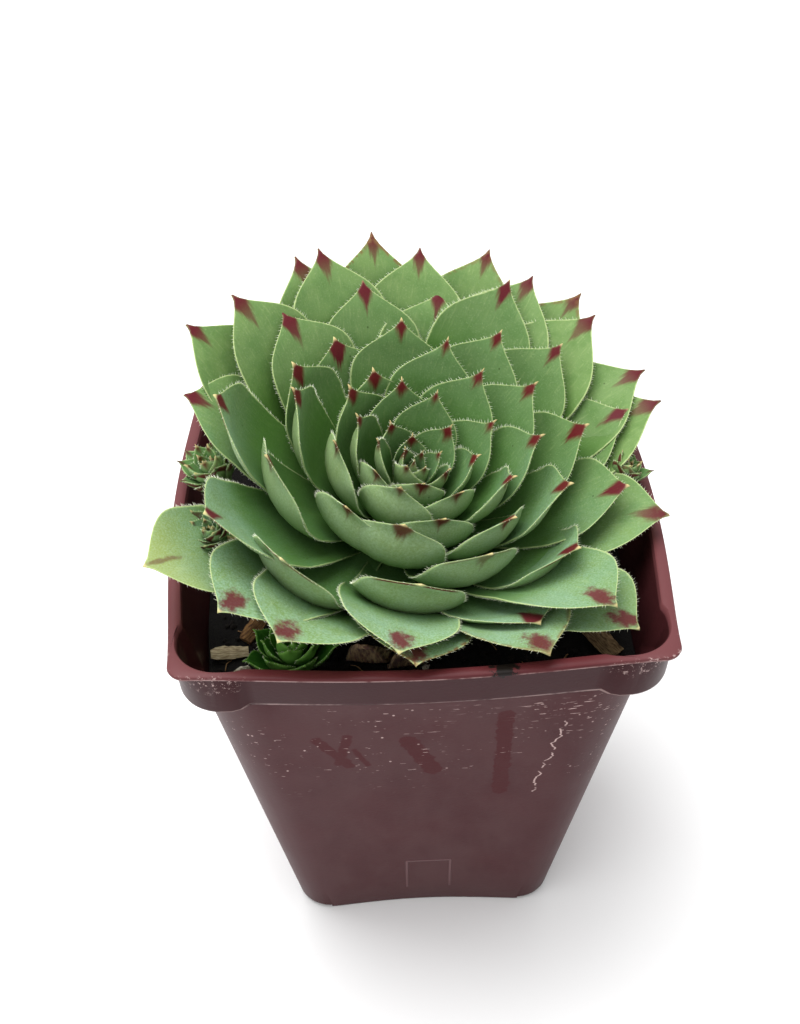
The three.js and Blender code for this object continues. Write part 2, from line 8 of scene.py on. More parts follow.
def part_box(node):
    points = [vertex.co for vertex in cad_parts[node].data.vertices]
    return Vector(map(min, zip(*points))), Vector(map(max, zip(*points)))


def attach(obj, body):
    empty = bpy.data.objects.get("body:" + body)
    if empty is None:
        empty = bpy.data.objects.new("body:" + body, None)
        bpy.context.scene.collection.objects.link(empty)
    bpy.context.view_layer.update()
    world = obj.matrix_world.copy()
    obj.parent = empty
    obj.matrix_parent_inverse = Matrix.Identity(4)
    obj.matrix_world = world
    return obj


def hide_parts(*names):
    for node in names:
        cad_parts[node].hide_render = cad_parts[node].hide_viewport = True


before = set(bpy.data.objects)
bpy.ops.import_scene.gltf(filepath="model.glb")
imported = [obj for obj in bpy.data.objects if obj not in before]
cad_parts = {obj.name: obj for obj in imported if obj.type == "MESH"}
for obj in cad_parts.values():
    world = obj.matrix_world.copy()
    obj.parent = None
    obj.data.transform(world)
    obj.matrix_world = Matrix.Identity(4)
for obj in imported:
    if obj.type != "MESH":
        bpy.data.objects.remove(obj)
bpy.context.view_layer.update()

MM = 0.001

# ---- Driving dimensions, in millimetres ----

POT_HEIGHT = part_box("pot")[1].z / MM
RIM_HALF = 44.5
BASE_HALF = 27.6
BODY_TOP_HALF = 41.5
BAND_TOP_HALF = 43.3
BAND_FOOT = POT_HEIGHT - 10
BAND_STEP = 0.6
FLANGE = 1.1
WALL = 1.4
FLOOR = 2.2
RIM_BOW, BODY_BOW, BASE_BOW = 2.3, 1.5, -1.4
RIM_CORNER, LUG_CORNER, BODY_CORNER, BASE_CORNER = 3.3, 8, 12, 8
BODY_SKEW = radians(30)  # how far the sides reach round the corners
LUG = 1.9
LUG_RANGE = (0.87, 0.94)  # shares of the straight side over which a lug rises
FOOT_HALF, FOOT_LIFT = 20.3, 1.2
DRAIN_CENTRE, DRAIN_RADIUS = 19.5, 2.6
CLEARANCE = 0.3
SOIL_TOP = POT_HEIGHT - 14

# ---- Numbers ----


def lerp(a, b, t):
    return a + (b - a) * t


def smoothstep(x, low, high):
    t = np.clip((x - low) / (high - low), 0, 1)
    return t * t * (3 - 2 * t)


def draw(index, seed):
    """A fixed pseudo-random number from -1 to 1 for each pair of seeds."""
    wave = np.sin(index * 12.9898 + seed * 78.233) * 43758.5453
    return 2 * (wave - np.floor(wave)) - 1


def ripple(points, size, seed=0.0):
    """A smooth uneven field from about -1 to 1 whose lumps are about `size` across."""
    x, y, z = np.moveaxis(np.asarray(points) * (2 * pi / size), -1, 0)
    return (
        np.sin(x + 1.3 * np.sin(0.7 * y + seed) + seed)
        + np.sin(0.9 * y + 1.1 * np.sin(0.8 * z + 2 * seed) + 1.7 * seed)
        + np.sin(1.1 * z + 1.2 * np.sin(0.6 * x - seed) + 2.3 * seed)
    ) / 3


def unit(vectors):
    return vectors / np.maximum(np.linalg.norm(vectors, axis=-1, keepdims=True), 1e-9)


def transformed(matrix, points):
    rows = np.array(matrix)
    return points @ rows[:3, :3].T + rows[:3, 3]


# ---- Meshes ----


def ring_faces(rows, columns):
    """Four-sided faces between `rows` rings of points, each anticlockwise seen from the last."""
    row, column = np.meshgrid(np.arange(rows - 1), np.arange(columns), indexing="ij")
    near = row * columns + column
    far = row * columns + (column + 1) % columns
    return np.stack([near, far, far + columns, near + columns], -1).reshape(-1, 4)


def cap_faces(first, columns, centre, last):
    """Triangles that close a ring onto one point; `last` says that it is the skin's last ring."""
    column = np.arange(columns)
    near, far = first + column, first + (column + 1) % columns
    if not last:
        near, far = far, near
    return np.stack([near, far, np.full(columns, centre)], -1)


def put(name, data):
    """A new object in the scene."""
    thing = bpy.data.objects.new(name, data)
    bpy.context.scene.collection.objects.link(thing)
    return thing


def smooth(mesh, sharp=None):
    """Smooth shading, apart from edges that turn by more than `sharp` degrees."""
    mesh.shade_smooth()
    if sharp:
        mesh.set_sharp_from_angle(angle=radians(sharp))


class Skin:
    """Points, faces and point values gathered for one mesh."""

    def __init__(self, *value_names):
        self.points, self.faces = [], []
        self.values = {name: [] for name in value_names}
        self.count = 0

    def add(self, points, faces, **values):
        for face_group in faces:
            self.faces.extend((face_group + self.count).tolist())
        for name, gathered in self.values.items():
            gathered.append(np.broadcast_to(values.get(name, 0.0), len(points)))
        self.points.append(points)
        self.count += len(points)

    def add_rings(self, rings, **values):
        """Rings of points with both ends closed onto their middles."""
        rings = np.asarray(rings)
        rows, columns = rings.shape[:2]
        points = np.concatenate([rings.reshape(-1, 3), rings[[0, -1]].mean(1)])
        first, last = len(points) - 2, len(points) - 1
        faces = [
            ring_faces(rows, columns),
            cap_faces(0, columns, first, last=False),
            cap_faces((rows - 1) * columns, columns, last, last=True),
        ]
        spread = {}
        for name, value in values.items():
            on_rings = np.broadcast_to(value, (rows, columns)).ravel()
            spread[name] = np.append(on_rings, on_rings[[0, -1]])
        self.add(points, faces, **spread)

    def thing(self, name):
        mesh = bpy.data.meshes.new(name)
        mesh.from_pydata((np.concatenate(self.points) * MM).tolist(), [], self.faces)
        return put(name, mesh)

    def build(self, name, material, slot, node=None, sharp=None):
        """Makes the piece, which rides on the part's body and stands for a CAD node if one is given."""
        piece = self.thing(name)
        for key, gathered in self.values.items():
            attribute = piece.data.attributes.new(key, "FLOAT", "POINT")
            attribute.data.foreach_set("value", np.concatenate(gathered).astype(np.float32))
        smooth(piece.data, sharp)
        piece.data.materials.append(material)
        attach(piece, "root")
        if node:
            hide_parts(node)
        return piece


def tube_rings(path, radius, sides=8):
    """Rings round a path of points; `radius` is one number or one for each point."""
    path = np.asarray(path, float)
    ahead = unit(np.gradient(path, axis=0))
    aside = unit(np.cross(ahead, np.where(np.abs(ahead[:, 2:]) > 0.9, [1.0, 0, 0], [0, 0, 1.0])))
    above = np.cross(aside, ahead)
    angle = np.linspace(0, 2 * pi, sides, endpoint=False)[:, None]
    radius = np.broadcast_to(radius, len(path))[:, None, None]
    return path[:, None] + radius * (np.sin(angle) * above[:, None] - np.cos(angle) * aside[:, None])


def smooth_path(points, steps):
    """A smooth line through a few points."""
    points = np.asarray(points, float)
    padded = np.concatenate([[2 * points[0] - points[1]], points, [2 * points[-1] - points[-2]]])
    line = []
    for a, b, c, d in zip(padded, padded[1:], padded[2:], padded[3:]):
        for t in np.linspace(0, 1, steps, endpoint=False):
            line.append(0.5 * (2 * b + (c - a) * t + (2 * a - 5 * b + 4 * c - d) * t**2
                               + (3 * b - a - 3 * c + d) * t**3))
    line.append(points[-1])
    return np.array(line)


# ---- Materials ----


class Wire:
    """A node's output. Formulas are written with it as with a number, each step adding one node."""

    def __init__(self, shader, socket):
        self.shader, self.socket = shader, socket

    def math(self, operation, *values):
        return self.shader.node("ShaderNodeMath", dict(enumerate(values)), operation=operation)

    def __add__(self, other):
        return self.math("ADD", self, other)

    def __sub__(self, other):
        return self.math("SUBTRACT", self, other)

    def __rsub__(self, other):
        return self.math("SUBTRACT", other, self)

    def __mul__(self, other):
        return self.math("MULTIPLY", self, other)

    def __abs__(self):
        return self.math("ABSOLUTE", self)

    def root(self):
        return self.math("SQRT", self)

    def parts(self):
        """A vector's x, y and z."""
        node = self.shader.node("ShaderNodeSeparateXYZ", {0: self}).socket.node
        return [Wire(self.shader, socket) for socket in node.outputs]

    def scaled(self, x, y, z):
        return self.shader.node("ShaderNodeVectorMath", {0: self, 1: (x, y, z)}, operation="MULTIPLY")


class Shader:
    """A material under construction, with the colour that has been laid on so far."""

    def __init__(self, name, **numbers):
        self.material = bpy.data.materials.new(name)
        self.material.use_nodes = True
        self.tree = self.material.node_tree
        self.colour = None
        self.connect(numbers)

    def connect(self, values):
        surface = self.tree.nodes["Principled BSDF"]
        for key, value in values.items():
            self.set(surface.inputs[key.replace("_", " ")], value)

    def set(self, socket, value):
        if isinstance(value, Wire):
            self.tree.links.new(value.socket, socket)
        elif socket.type == "RGBA":
            socket.default_value = (*value, 1)
        else:
            socket.default_value = value

    def node(self, kind, inputs, output=0, **settings):
        node = self.tree.nodes.new(kind)
        for key, setting in settings.items():
            setattr(node, key, setting)
        for key, value in inputs.items():
            self.set(node.inputs[key], value)
        return Wire(self, node.outputs[output])

    def place(self):
        """The point on the object in millimetres."""
        coordinates = self.node("ShaderNodeTexCoord", {}, "Object")
        return self.node("ShaderNodeVectorMath", {0: coordinates, 3: 1 / MM}, operation="SCALE")

    def vector(self, x, y, z):
        return self.node("ShaderNodeCombineXYZ", {0: x, 1: y, 2: z})

    def value(self, name):
        return self.node("ShaderNodeAttribute", {}, "Fac", attribute_name=name)

    def paint(self, colour, share=None):
        """Lays a colour over what is there, all of it or a share."""
        self.colour = colour if share is None else mix(share, self.colour, colour)

    def finish(self, **values):
        self.connect({"Base_Color": self.colour, **values})
        return self.material


def highest(first, *others):
    for other in others:
        first = first.math("MAXIMUM", first, other)
    return first


def lowest(first, second):
    return first.math("MINIMUM", first, second)


def step(value, low, high, bottom=0, top=1):
    """Rises smoothly from `bottom` at `low` to `top` at `high`."""
    inputs = {"Value": value, "From Min": low, "From Max": high, "To Min": bottom, "To Max": top}
    return value.shader.node("ShaderNodeMapRange", inputs, interpolation_type="SMOOTHSTEP")


def noise(vector, size, detail=2, rough=0.5):
    """Noise from 0 to 1 whose lumps are about `size` across."""
    inputs = {"Vector": vector, "Scale": 1 / size, "Detail": detail, "Roughness": rough}
    return vector.shader.node("ShaderNodeTexNoise", inputs, "Fac")


def cells(vector, size):
    """Distance to the nearest of many scattered points about `size` apart, as a share of it."""
    return vector.shader.node("ShaderNodeTexVoronoi", {"Vector": vector, "Scale": 1 / size}, "Distance")


def mix(share, first, second):
    return share.shader.node("ShaderNodeMix", {0: share, 6: first, 7: second}, 2, data_type="RGBA")


def bump(height, distance):
    """Relief of `distance` millimetres where `height` is 1."""
    inputs = {"Height": height, "Strength": 1, "Distance": distance * MM}
    return height.shader.node("ShaderNodeBump", inputs)


def rgb(red, green, blue):
    """A colour given as it looks on screen, 0 to 255."""
    return tuple((channel / 255 / 12.92) if channel <= 10 else ((channel / 255 + 0.055) / 1.055) ** 2.4
                 for channel in (red, green, blue))


BLOOM = rgb(142, 174, 152)
CREAM = rgb(214, 196, 140)
MARK_FADED = rgb(100, 30, 50)
MARK_YOUNG = rgb(84, 0, 12)
PITS = rgb(48, 62, 30)
WITHERED = rgb(112, 84, 52)
YELLOWED = rgb(160, 164, 84)
YELLOW_LEAF = 81  # the lowest leaf on the left, which is ageing from its point
LEAF_APART = 7.3  # keeps one leaf's noise apart from the next one's
LEAF_VALUES = ("edge", "side", "tip", "top", "age", "number", "mark", "brown")


def leaf_material(name, fresh, old, shaded_green, pale, mark, wax=1):
    """Waxy leaf skin. Colours are for young and old leaves, painted shade at the base, the margin and the
    mark.
    """
    shader = Shader(name, Subsurface_Weight=0.07, Subsurface_Radius=(0.9 * MM, 1.3 * MM, 0.4 * MM),
                    Subsurface_Scale=1, Specular_IOR_Level=0.12)
    edge, side, tip, top, age, number, size, brown = map(shader.value, LEAF_VALUES)
    right, forward, _ = shader.place().parts()
    blade = shader.vector(side, tip, number * LEAF_APART)

    mottle = noise(blade, 5, 3, 0.6)
    streak = noise(blade.scaled(1, 0.14, 1), 0.5, 3)
    speck = noise(blade, 0.34, 2, 0.6)
    shader.paint(mix(step(age, 0.15, 0.95), fresh, old))
    shader.paint(shaded_green, step(mottle, 0.4, 0.7, 0, 0.4))
    # The wax bloom is thickest on the leaves in front. It is thinned on the right as painted shade, darkening
    # that side.
    front = step(forward, 8, -26, 0.06 * wax, 0.66 * wax) * step(right, 18, 42, 1, 0.35)
    shader.paint(BLOOM, step(speck * 0.6 + mottle * 0.4, 0.3, 0.66) * front)
    shader.paint(pale, step(streak, 0.52, 0.8, 0, 0.14))
    shader.paint(pale, step(speck, 0.56, 0.8, 0, 0.22))
    # Each leaf is painted darker away from its point, as painted shade deep in the rosette; on young leaves
    # it starts nearer the point.
    into_shade = tip - step(age, 0.1, 0.7, 1.5, 9)
    shader.paint(shaded_green, step(into_shade, 0, 13, 0, 0.75))
    shader.paint(pale, (1 - top) * 0.3)
    shader.paint(PITS, step(cells(blade, 4.2), 0.06, 0.03) * 0.7)
    ageing = step(abs(number - YELLOW_LEAF), 0.6, 0.4)
    shader.paint(YELLOWED, ageing * step(tip, 13, 0, 0.05, 0.5))

    # The mark is a wedge from the point down the middle of the upper side, with a streaky end.
    frayed = (streak - 0.5) * step(tip, 1, 5, 0.6, 4.5)
    wedge = abs(side) * step(age, 0.2, 0.6, 1.3, 2.3) + tip + frayed - size
    both_sides = highest(top, step(age, 0.5, 0.3))
    upper = step(wedge, 1, -1.7) * both_sides
    # On the old leaves in front it is only a washed-out blotch a little way in from the point.
    washed = step(age, 0.55, 0.68) * step(forward, -6, -20, 0, wax)
    centre = (tip - 3.2) * step(ageing, 0, 1, 0.75, 0.5)
    off = side * step(ageing, 0, 1, 1, 3.5)
    away = (centre * centre + off * off).root() + (noise(blade, 1.7, 4, 0.65) - 0.5) * 5
    blotch = step(away, 2.9, 0.9) * top * step(ageing, 0, 1, 0.95, 0.6)
    upper = upper * (1 - washed) + blotch * washed
    # Older leaves are marked below only along a narrow line on each side of the pale cusp.
    below = step(edge, 1.3, 0.8) * step(tip, 4.6, 3) * (1 - both_sides)
    marked = highest(upper, below * step(tip, 0.5, 1.3)) * step(size, 0.3, 1)
    faint = step(age, 0.5, 0.8) * step(tip, 1.5, 6, 0, 0.35) * (1 - washed)
    marked = marked * (1 - faint)
    tone = mix(step(tip, 2, 7, 0, 0.5), mark, MARK_FADED)
    tone = mix(step(age, 0.35, 0.6, 0.8 * wax, 0), tone, MARK_YOUNG)
    shader.paint(tone, marked * 0.96)

    ragged = edge + (noise(blade, 0.8, 2) - 0.5) * 0.5
    margin = (1 - step(ragged, 0.04, 0.36)) * step(age, 0.2, 0.8, 0.5, 0.75)
    shader.paint(pale, margin * (1 - marked * 0.8))
    # Young leaves end in a cream cusp, old ones in a dark one.
    dark = step(age, 0.5, 0.62) * (1 - washed)
    shader.paint(mix(dark, CREAM, mark), step(tip, 0.9, 0.3) * step(size, 0.3, 1, 0, 0.7))
    shader.paint(WITHERED, brown * step(ragged, 1.4, 0.3) * step(noise(blade, 1.5, 3, 0.7), 0.4, 0.56))
    relief = streak * 0.4 + mottle * 0.8 + speck * 0.25
    return shader.finish(Roughness=step(mottle, 0.3, 0.7, 0.45, 0.6), Normal=bump(relief, 0.14))


def hair_material():
    shader = Shader("leaf_hair", Roughness=0.6, Subsurface_Weight=0.2)
    shader.paint(mix(noise(shader.place(), 3), rgb(205, 215, 170), rgb(238, 240, 222)))
    return shader.finish()


def stem_material():
    shader = Shader("runner", Roughness=0.6)
    shader.paint(mix(noise(shader.place().scaled(1, 1, 0.4), 2, 3), rgb(150, 128, 84), rgb(112, 120, 62)))
    return shader.finish()


def soil_material(name, dark, light, share):
    """Crumbly matter whose lighter flecks cover about `share` of it."""
    shader = Shader(name, Roughness=0.95, Specular_IOR_Level=0.25)
    place = shader.place()
    shader.paint(mix(step(noise(place, 0.9, 4, 0.7), 0.72 - share / 2, 0.85 - share / 2), dark, light))
    return shader.finish(Normal=bump(noise(place, 0.5, 4, 0.7), 0.35))


def wood_material(name, dark, light):
    shader = Shader(name, Roughness=0.9, Specular_IOR_Level=0.2)
    grain = noise(shader.vector(shader.value("along") * 0.15, shader.value("side"), 0), 0.28, 4, 0.65)
    shader.paint(mix(step(grain, 0.35, 0.65), dark, light))
    return shader.finish(Normal=bump(grain, 0.3))


def dry_material():
    shader = Shader("dry_leaf", Roughness=0.8, Subsurface_Weight=0.1)
    vein = noise(shader.vector(shader.value("side"), shader.value("along") * 0.2, 0), 0.5, 3, 0.6)
    shader.paint(mix(step(vein, 0.35, 0.7), rgb(98, 66, 58), rgb(178, 150, 110)))
    shader.paint(rgb(86, 52, 60), step(noise(shader.place(), 2.6, 3), 0.5, 0.7, 0, 0.7))
    return shader.finish(Normal=bump(vein, 0.25))


# Strokes wiped through the dust on the front: x and z of both ends, and half the width.
STROKES = (
    (14.5, 75.5, 14.5, 48, 1.8),
    (-3.2, 68.5, 1.4, 57.5, 2),
    (-20, 69, -14.2, 60, 1.3),
    (-14.3, 70, -16.2, 61, 1.2),
    (-13.2, 65.5, -10.8, 60, 0.8),
)
FRAME_X, FRAME_Z, FRAME_HALF, FRAME_TALL = 0.8, 6.8, 4.6, 12
SCRATCH_TOP, SCRATCH_FOOT = (25.4, 73), (21.2, 47)
LEAF_SHADOW_X, LEAF_SHADOW_FOOT = 13.4, 87.4


def capsule(x, z, stroke):
    """1 inside a round-ended stroke drawn on the front of the pot."""
    start_x, start_z, end_x, end_z, half_width = stroke
    run, rise = end_x - start_x, end_z - start_z
    scale = 1 / (run**2 + rise**2)
    off_x, off_z = x - start_x, z - start_z
    share = lowest(highest(off_x * (run * scale) + off_z * (rise * scale), 0), 1)
    away_x, away_z = off_x - share * run, off_z - share * rise
    ragged = noise(x.shader.place(), 1.6, 3, 0.6) * half_width - half_width / 2
    away = (away_x * away_x + away_z * away_z).root() - ragged
    return step(away, half_width, half_width - 0.5)


def pot_material():
    """Moulded maroon plastic under a film of dust, wiped and scratched in places, with painted shade and
    sheen.
    """
    shader = Shader("pot_plastic", Specular_IOR_Level=0.12)
    place = shader.place()
    x, y, z = place.parts()
    aside = abs(x)
    front = step(y, -24, -30)
    outside = shader.value("outside")
    on_front = front * outside
    lip = POT_HEIGHT - FLANGE
    shader.paint(mix(noise(place, 14, 4, 0.6), rgb(66, 21, 26), rgb(52, 18, 23)))
    shader.paint(rgb(36, 12, 16), step(z, BAND_FOOT - 1, BAND_FOOT, 0, 0.5))
    # The flange is painted darker mid-front and mid-back, as shade from the leaves, and lighter at its sides
    # and corners, as a painted sheen.
    rim = step(z, lip - 0.4, lip + 0.1)
    shader.paint(mix(step(aside, 26, 40), rgb(80, 33, 36), rgb(98, 55, 57)), rim)
    shader.paint(rgb(60, 27, 29), (1 - outside) * (1 - rim))

    # Dust lies thickest in the middle of the tapered body.
    dust = outside * step(noise(place.scaled(1, 1, 0.5), 9, 4, 0.65), 0.3, 0.65, 0.2, 0.55)
    dust = dust * step(z, BAND_FOOT - 1, BAND_FOOT + 1, 1, 0.15) * step(aside, 14, 30, 1, 0.5)
    dust = dust * step(z, 8, 45, 1.5, 1)
    shader.paint(rgb(80, 55, 56), dust)
    wiped = highest(*(capsule(x, z, stroke) for stroke in STROKES))
    shader.paint(rgb(62, 10, 16), wiped * on_front * 0.85)

    # Scuffs are white: crumbly on the lugs under the flange, dashes and dots below the band.
    crumbs = step(noise(place, 0.9, 5, 0.8), 0.56, 0.62)
    lugs = step(lowest(aside, abs(y)), 30, 34) * step(z, POT_HEIGHT - 6, POT_HEIGHT - 3) * outside
    upper = step(z, BAND_FOOT - 1, BAND_FOOT - 3) * step(z, 46, 62) * on_front
    upper = upper * step(noise(place, 12, 2), 0.42, 0.58)
    dots = step(cells(place, 2.9), 0.1, 0.05)
    under_band = step(z, BAND_FOOT - 12, BAND_FOOT - 9) * step(x, -2, 4)
    dashes = step(noise(place.scaled(0.3, 1, 1.8), 0.7) + under_band * 0.05, 0.69, 0.72)
    white = highest(crumbs * lugs, dots * upper, dashes * upper)

    # One long wavering scratch runs down the right of the front.
    down = step(z, SCRATCH_FOOT[1], SCRATCH_TOP[1])
    middle = down * (SCRATCH_TOP[0] - SCRATCH_FOOT[0]) + SCRATCH_FOOT[0]
    waver = (noise(shader.vector(0, 0, z), 4.5, 3, 0.6) - 0.5) * 7
    ends = step(z, SCRATCH_FOOT[1] - 0.5, SCRATCH_FOOT[1]) * step(z, SCRATCH_TOP[1] + 0.5, SCRATCH_TOP[1])
    scratch = step(abs(x - middle - waver), 0.24, 0.08) * ends * step(noise(place, 3), 0.4, 0.5)
    white = highest(white, scratch * on_front)

    # The mould's part line at the foot of the band and the flange's lower edge are worn pale.
    foot_line = step(abs(z - (BAND_FOOT - 0.1)), 0.35, 0.12)
    lip_line = step(abs(z - (POT_HEIGHT - FLANGE * 0.75)), 0.3, 0.1)
    worn = highest(foot_line, lip_line) * outside * step(noise(place, 5, 3, 0.7), 0.38, 0.6)
    shader.paint(rgb(186, 160, 156), highest(white, worn * 0.55) * 0.85)

    # A bare moulded frame, open at the bottom, stands on the front near the base.
    frame_x, frame_z = abs(x - FRAME_X), z - FRAME_Z
    inner, outer = (step(frame_x, FRAME_HALF + far, FRAME_HALF + near)
                    * step(frame_z, FRAME_TALL + far, FRAME_TALL + near)
                    for far, near in ((-0.15, -0.4), (0.35, 0.1)))
    ridge = (outer - inner) * step(frame_z, -0.6, 0.4) * front
    shader.paint(rgb(124, 96, 98), ridge * 0.45)

    # A dark streak, widest at the top, is painted on the front just under the rim where a leaf reaches it: a
    # painted shadow of that leaf.
    width = step(z, POT_HEIGHT - 3.2, POT_HEIGHT - 0.2, 0.4, 2.3)
    beside = abs(x - LEAF_SHADOW_X) + (noise(place, 1.2, 4, 0.75) - 0.5) * 7
    leaf_shadow = step(width - beside, 0, 0.5) * front * step(z, LEAF_SHADOW_FOOT, LEAF_SHADOW_FOOT + 0.8)
    shader.paint(rgb(20, 14, 12), leaf_shadow)

    relief = ridge + noise(place, 0.7, 3) * 0.12 + noise(place, 16, 1) * 2.2
    return shader.finish(Roughness=dust * 0.2 + 0.38, Normal=bump(relief, 0.16))


# ---- Pot ----

SIDE_POINTS = 48
CORNER_POINTS = 14
POT_SHARP = 38
PAST = 1  # how far a cutter reaches past what it cuts


def square_ring(height, half, corner, bow=0.0, lug=0.0, skew=0.0):
    """A rounded square seen anticlockwise from above, with bowed sides and lugs at its corners."""
    centre = half + lug - corner
    end = centre + corner * sin(skew)
    mark = np.linspace(-1, 1, SIDE_POINTS, endpoint=False)
    past = np.maximum(np.abs(end * mark) - centre, 0)
    rounding = corner - np.sqrt(corner**2 - past**2)
    bulge = bow * (1 - mark**2) ** 1.5 + lug * smoothstep(np.abs(mark), *LUG_RANGE)
    angle = np.linspace(skew, pi / 2 - skew, CORNER_POINTS, endpoint=False)
    x = np.concatenate([half + bulge - rounding, centre + corner * np.cos(angle)])
    y = np.concatenate([end * mark, centre + corner * np.sin(angle)])
    # Quarter turns are powers of i.
    loop = np.concatenate([(x + 1j * y) * 1j**side for side in range(4)])
    return np.stack([loop.real, loop.imag, np.full(len(loop), height)], -1)


def body_ring(height, t, wall=0.0, grow=0.0):
    """A ring of the tapered body, `t` of the way from the base to the band."""
    return square_ring(
        height,
        half=lerp(BASE_HALF, BODY_TOP_HALF, t) - wall + grow,
        corner=lerp(BASE_CORNER, BODY_CORNER, t) - wall,
        bow=lerp(BASE_BOW, BODY_BOW, t),
        skew=BODY_SKEW,
    )


def body_rings(bottom, top, wall, steps):
    return [body_ring(lerp(bottom, top, t), t, wall) for t in np.linspace(0, 1, steps)]


def pot_rings():
    """The pot's sections up its outside to the rim, and down its inside."""
    body_top = BAND_FOOT - BAND_STEP
    lip = POT_HEIGHT - FLANGE
    *flange, brim = (square_ring(height, RIM_HALF - inset, RIM_CORNER, RIM_BOW) for height, inset in (
        (lip, 0.4), (lip + 0.15, 0.1), (lip + FLANGE / 2, 0), (POT_HEIGHT - 0.2, 0.12), (POT_HEIGHT, 0.45)))
    outer = [
        body_ring(0, 0, grow=-0.7),
        body_ring(0.25, 0, grow=-0.25),
        *body_rings(0.8, body_top, 0, 12),
        *(square_ring(*section) for section in (
            (BAND_FOOT - 0.25, BODY_TOP_HALF, LUG_CORNER, BODY_BOW + 0.2, LUG - 0.4),
            (BAND_FOOT, BODY_TOP_HALF + 0.1, LUG_CORNER, BODY_BOW + 0.3, LUG),
            (BAND_FOOT + 0.5, BODY_TOP_HALF + 0.22, LUG_CORNER, BODY_BOW + 0.32, LUG),
            (lip - 0.4, BAND_TOP_HALF, LUG_CORNER, 2.1, 0.9),
        )),
        *flange,
    ]
    inner = [
        brim,
        *(square_ring(*section) for section in (
            (POT_HEIGHT, BAND_TOP_HALF - 0.4, LUG_CORNER, 2.2, 0.7),
            (POT_HEIGHT - 0.25, BAND_TOP_HALF - 0.75, LUG_CORNER - 0.3, 2.15, 0.8),
            (lip, BAND_TOP_HALF - 1, LUG_CORNER - 0.6, 2.1, 0.9),
            (BAND_FOOT + 1, BODY_TOP_HALF + 0.3 - WALL, LUG_CORNER - WALL, BODY_BOW + 0.3, LUG - 0.2),
        )),
        *reversed(body_rings(FLOOR, body_top, WALL, 6)),
    ]
    return outer, inner


def cut(piece, cutters):
    """Takes simple solids out of a piece."""
    for cutter in cutters:
        modifier = piece.modifiers.new("cut", "BOOLEAN")
        modifier.operation = "DIFFERENCE"
        modifier.object = cutter
        modifier.solver = "MANIFOLD"
    settled = piece.evaluated_get(bpy.context.evaluated_depsgraph_get())
    old = piece.data
    piece.modifiers.clear()
    piece.data = bpy.data.meshes.new_from_object(settled)
    bpy.data.meshes.remove(old)
    for cutter in cutters:
        bpy.data.objects.remove(cutter)


def loose_solid(rings):
    skin = Skin()
    skin.add_rings(rings)
    return skin.thing("cutter")


def round_ring(x, y, z, radius, sides=32, start=0):
    angle = np.linspace(0, 2 * pi, sides, endpoint=False) + start
    return np.stack([x + radius * np.cos(angle), y + radius * np.sin(angle), np.full(sides, z)], -1)


def make_pot():
    outer, inner = pot_rings()
    skin = Skin("outside")
    skin.add_rings(outer + inner, outside=np.repeat([[1.0], [0.0]], (len(outer), len(inner)), axis=0))
    piece = skin.build("pot_shell", pot_material(), "pot_plastic", "pot", sharp=POT_SHARP)
    half = (BASE_HALF + 2 - FOOT_HALF) / 2
    square = np.array([[-1, -1], [1, -1], [1, 1], [-1, 1]])
    cutters = []
    for corner in square:
        foot = square * half + corner * (FOOT_HALF + half)
        cutters.append(loose_solid([np.column_stack([foot, np.full(4, z)]) for z in (-PAST, FOOT_LIFT)]))
        drain = corner * DRAIN_CENTRE
        cutters.append(loose_solid([round_ring(*drain, z, DRAIN_RADIUS) for z in (-PAST, FLOOR + PAST)]))
    cut(piece, cutters)
    smooth(piece.data, POT_SHARP)


# ---- Rosettes ----


def rotation(x, y, z=0):
    """Rotation by degrees about the x, then the y, then the z axis."""
    return Euler([radians(angle) for angle in (x, y, z)]).to_matrix().to_4x4()


def along(stations, leaf, column):
    """One value of a plan's stations at any leaf number, on a smooth curve through the stations."""
    k = 0
    while k + 2 < len(stations) and stations[k + 1][0] <= leaf:
        k += 1

    def at(i):
        return stations[min(max(i, 0), len(stations) - 1)]

    def slope(i):
        return (at(i + 1)[column] - at(i - 1)[column]) / (at(i + 1)[0] - at(i - 1)[0])

    span = at(k + 1)[0] - at(k)[0]
    s = (leaf - at(k)[0]) / span
    return ((1 + 2 * s) * (1 - s) ** 2 * at(k)[column]
            + s * (1 - s) ** 2 * span * slope(k)
            + s * s * (3 - 2 * s) * at(k + 1)[column]
            + s * s * (s - 1) * span * slope(k + 1))


def fullness(t):
    return lerp(0.75, 1, smoothstep(t, 0, 0.5)) * (1 - 0.7 * smoothstep(t, 0.6, 1))


CUSP = 0.12  # how much of the margins runs straight to the point
BEAK_FROM = 0.85  # place along a leaf from which its point bends outwards
STEEPEST = 54  # degrees by which the front leaves of the middle curl up more than the rest


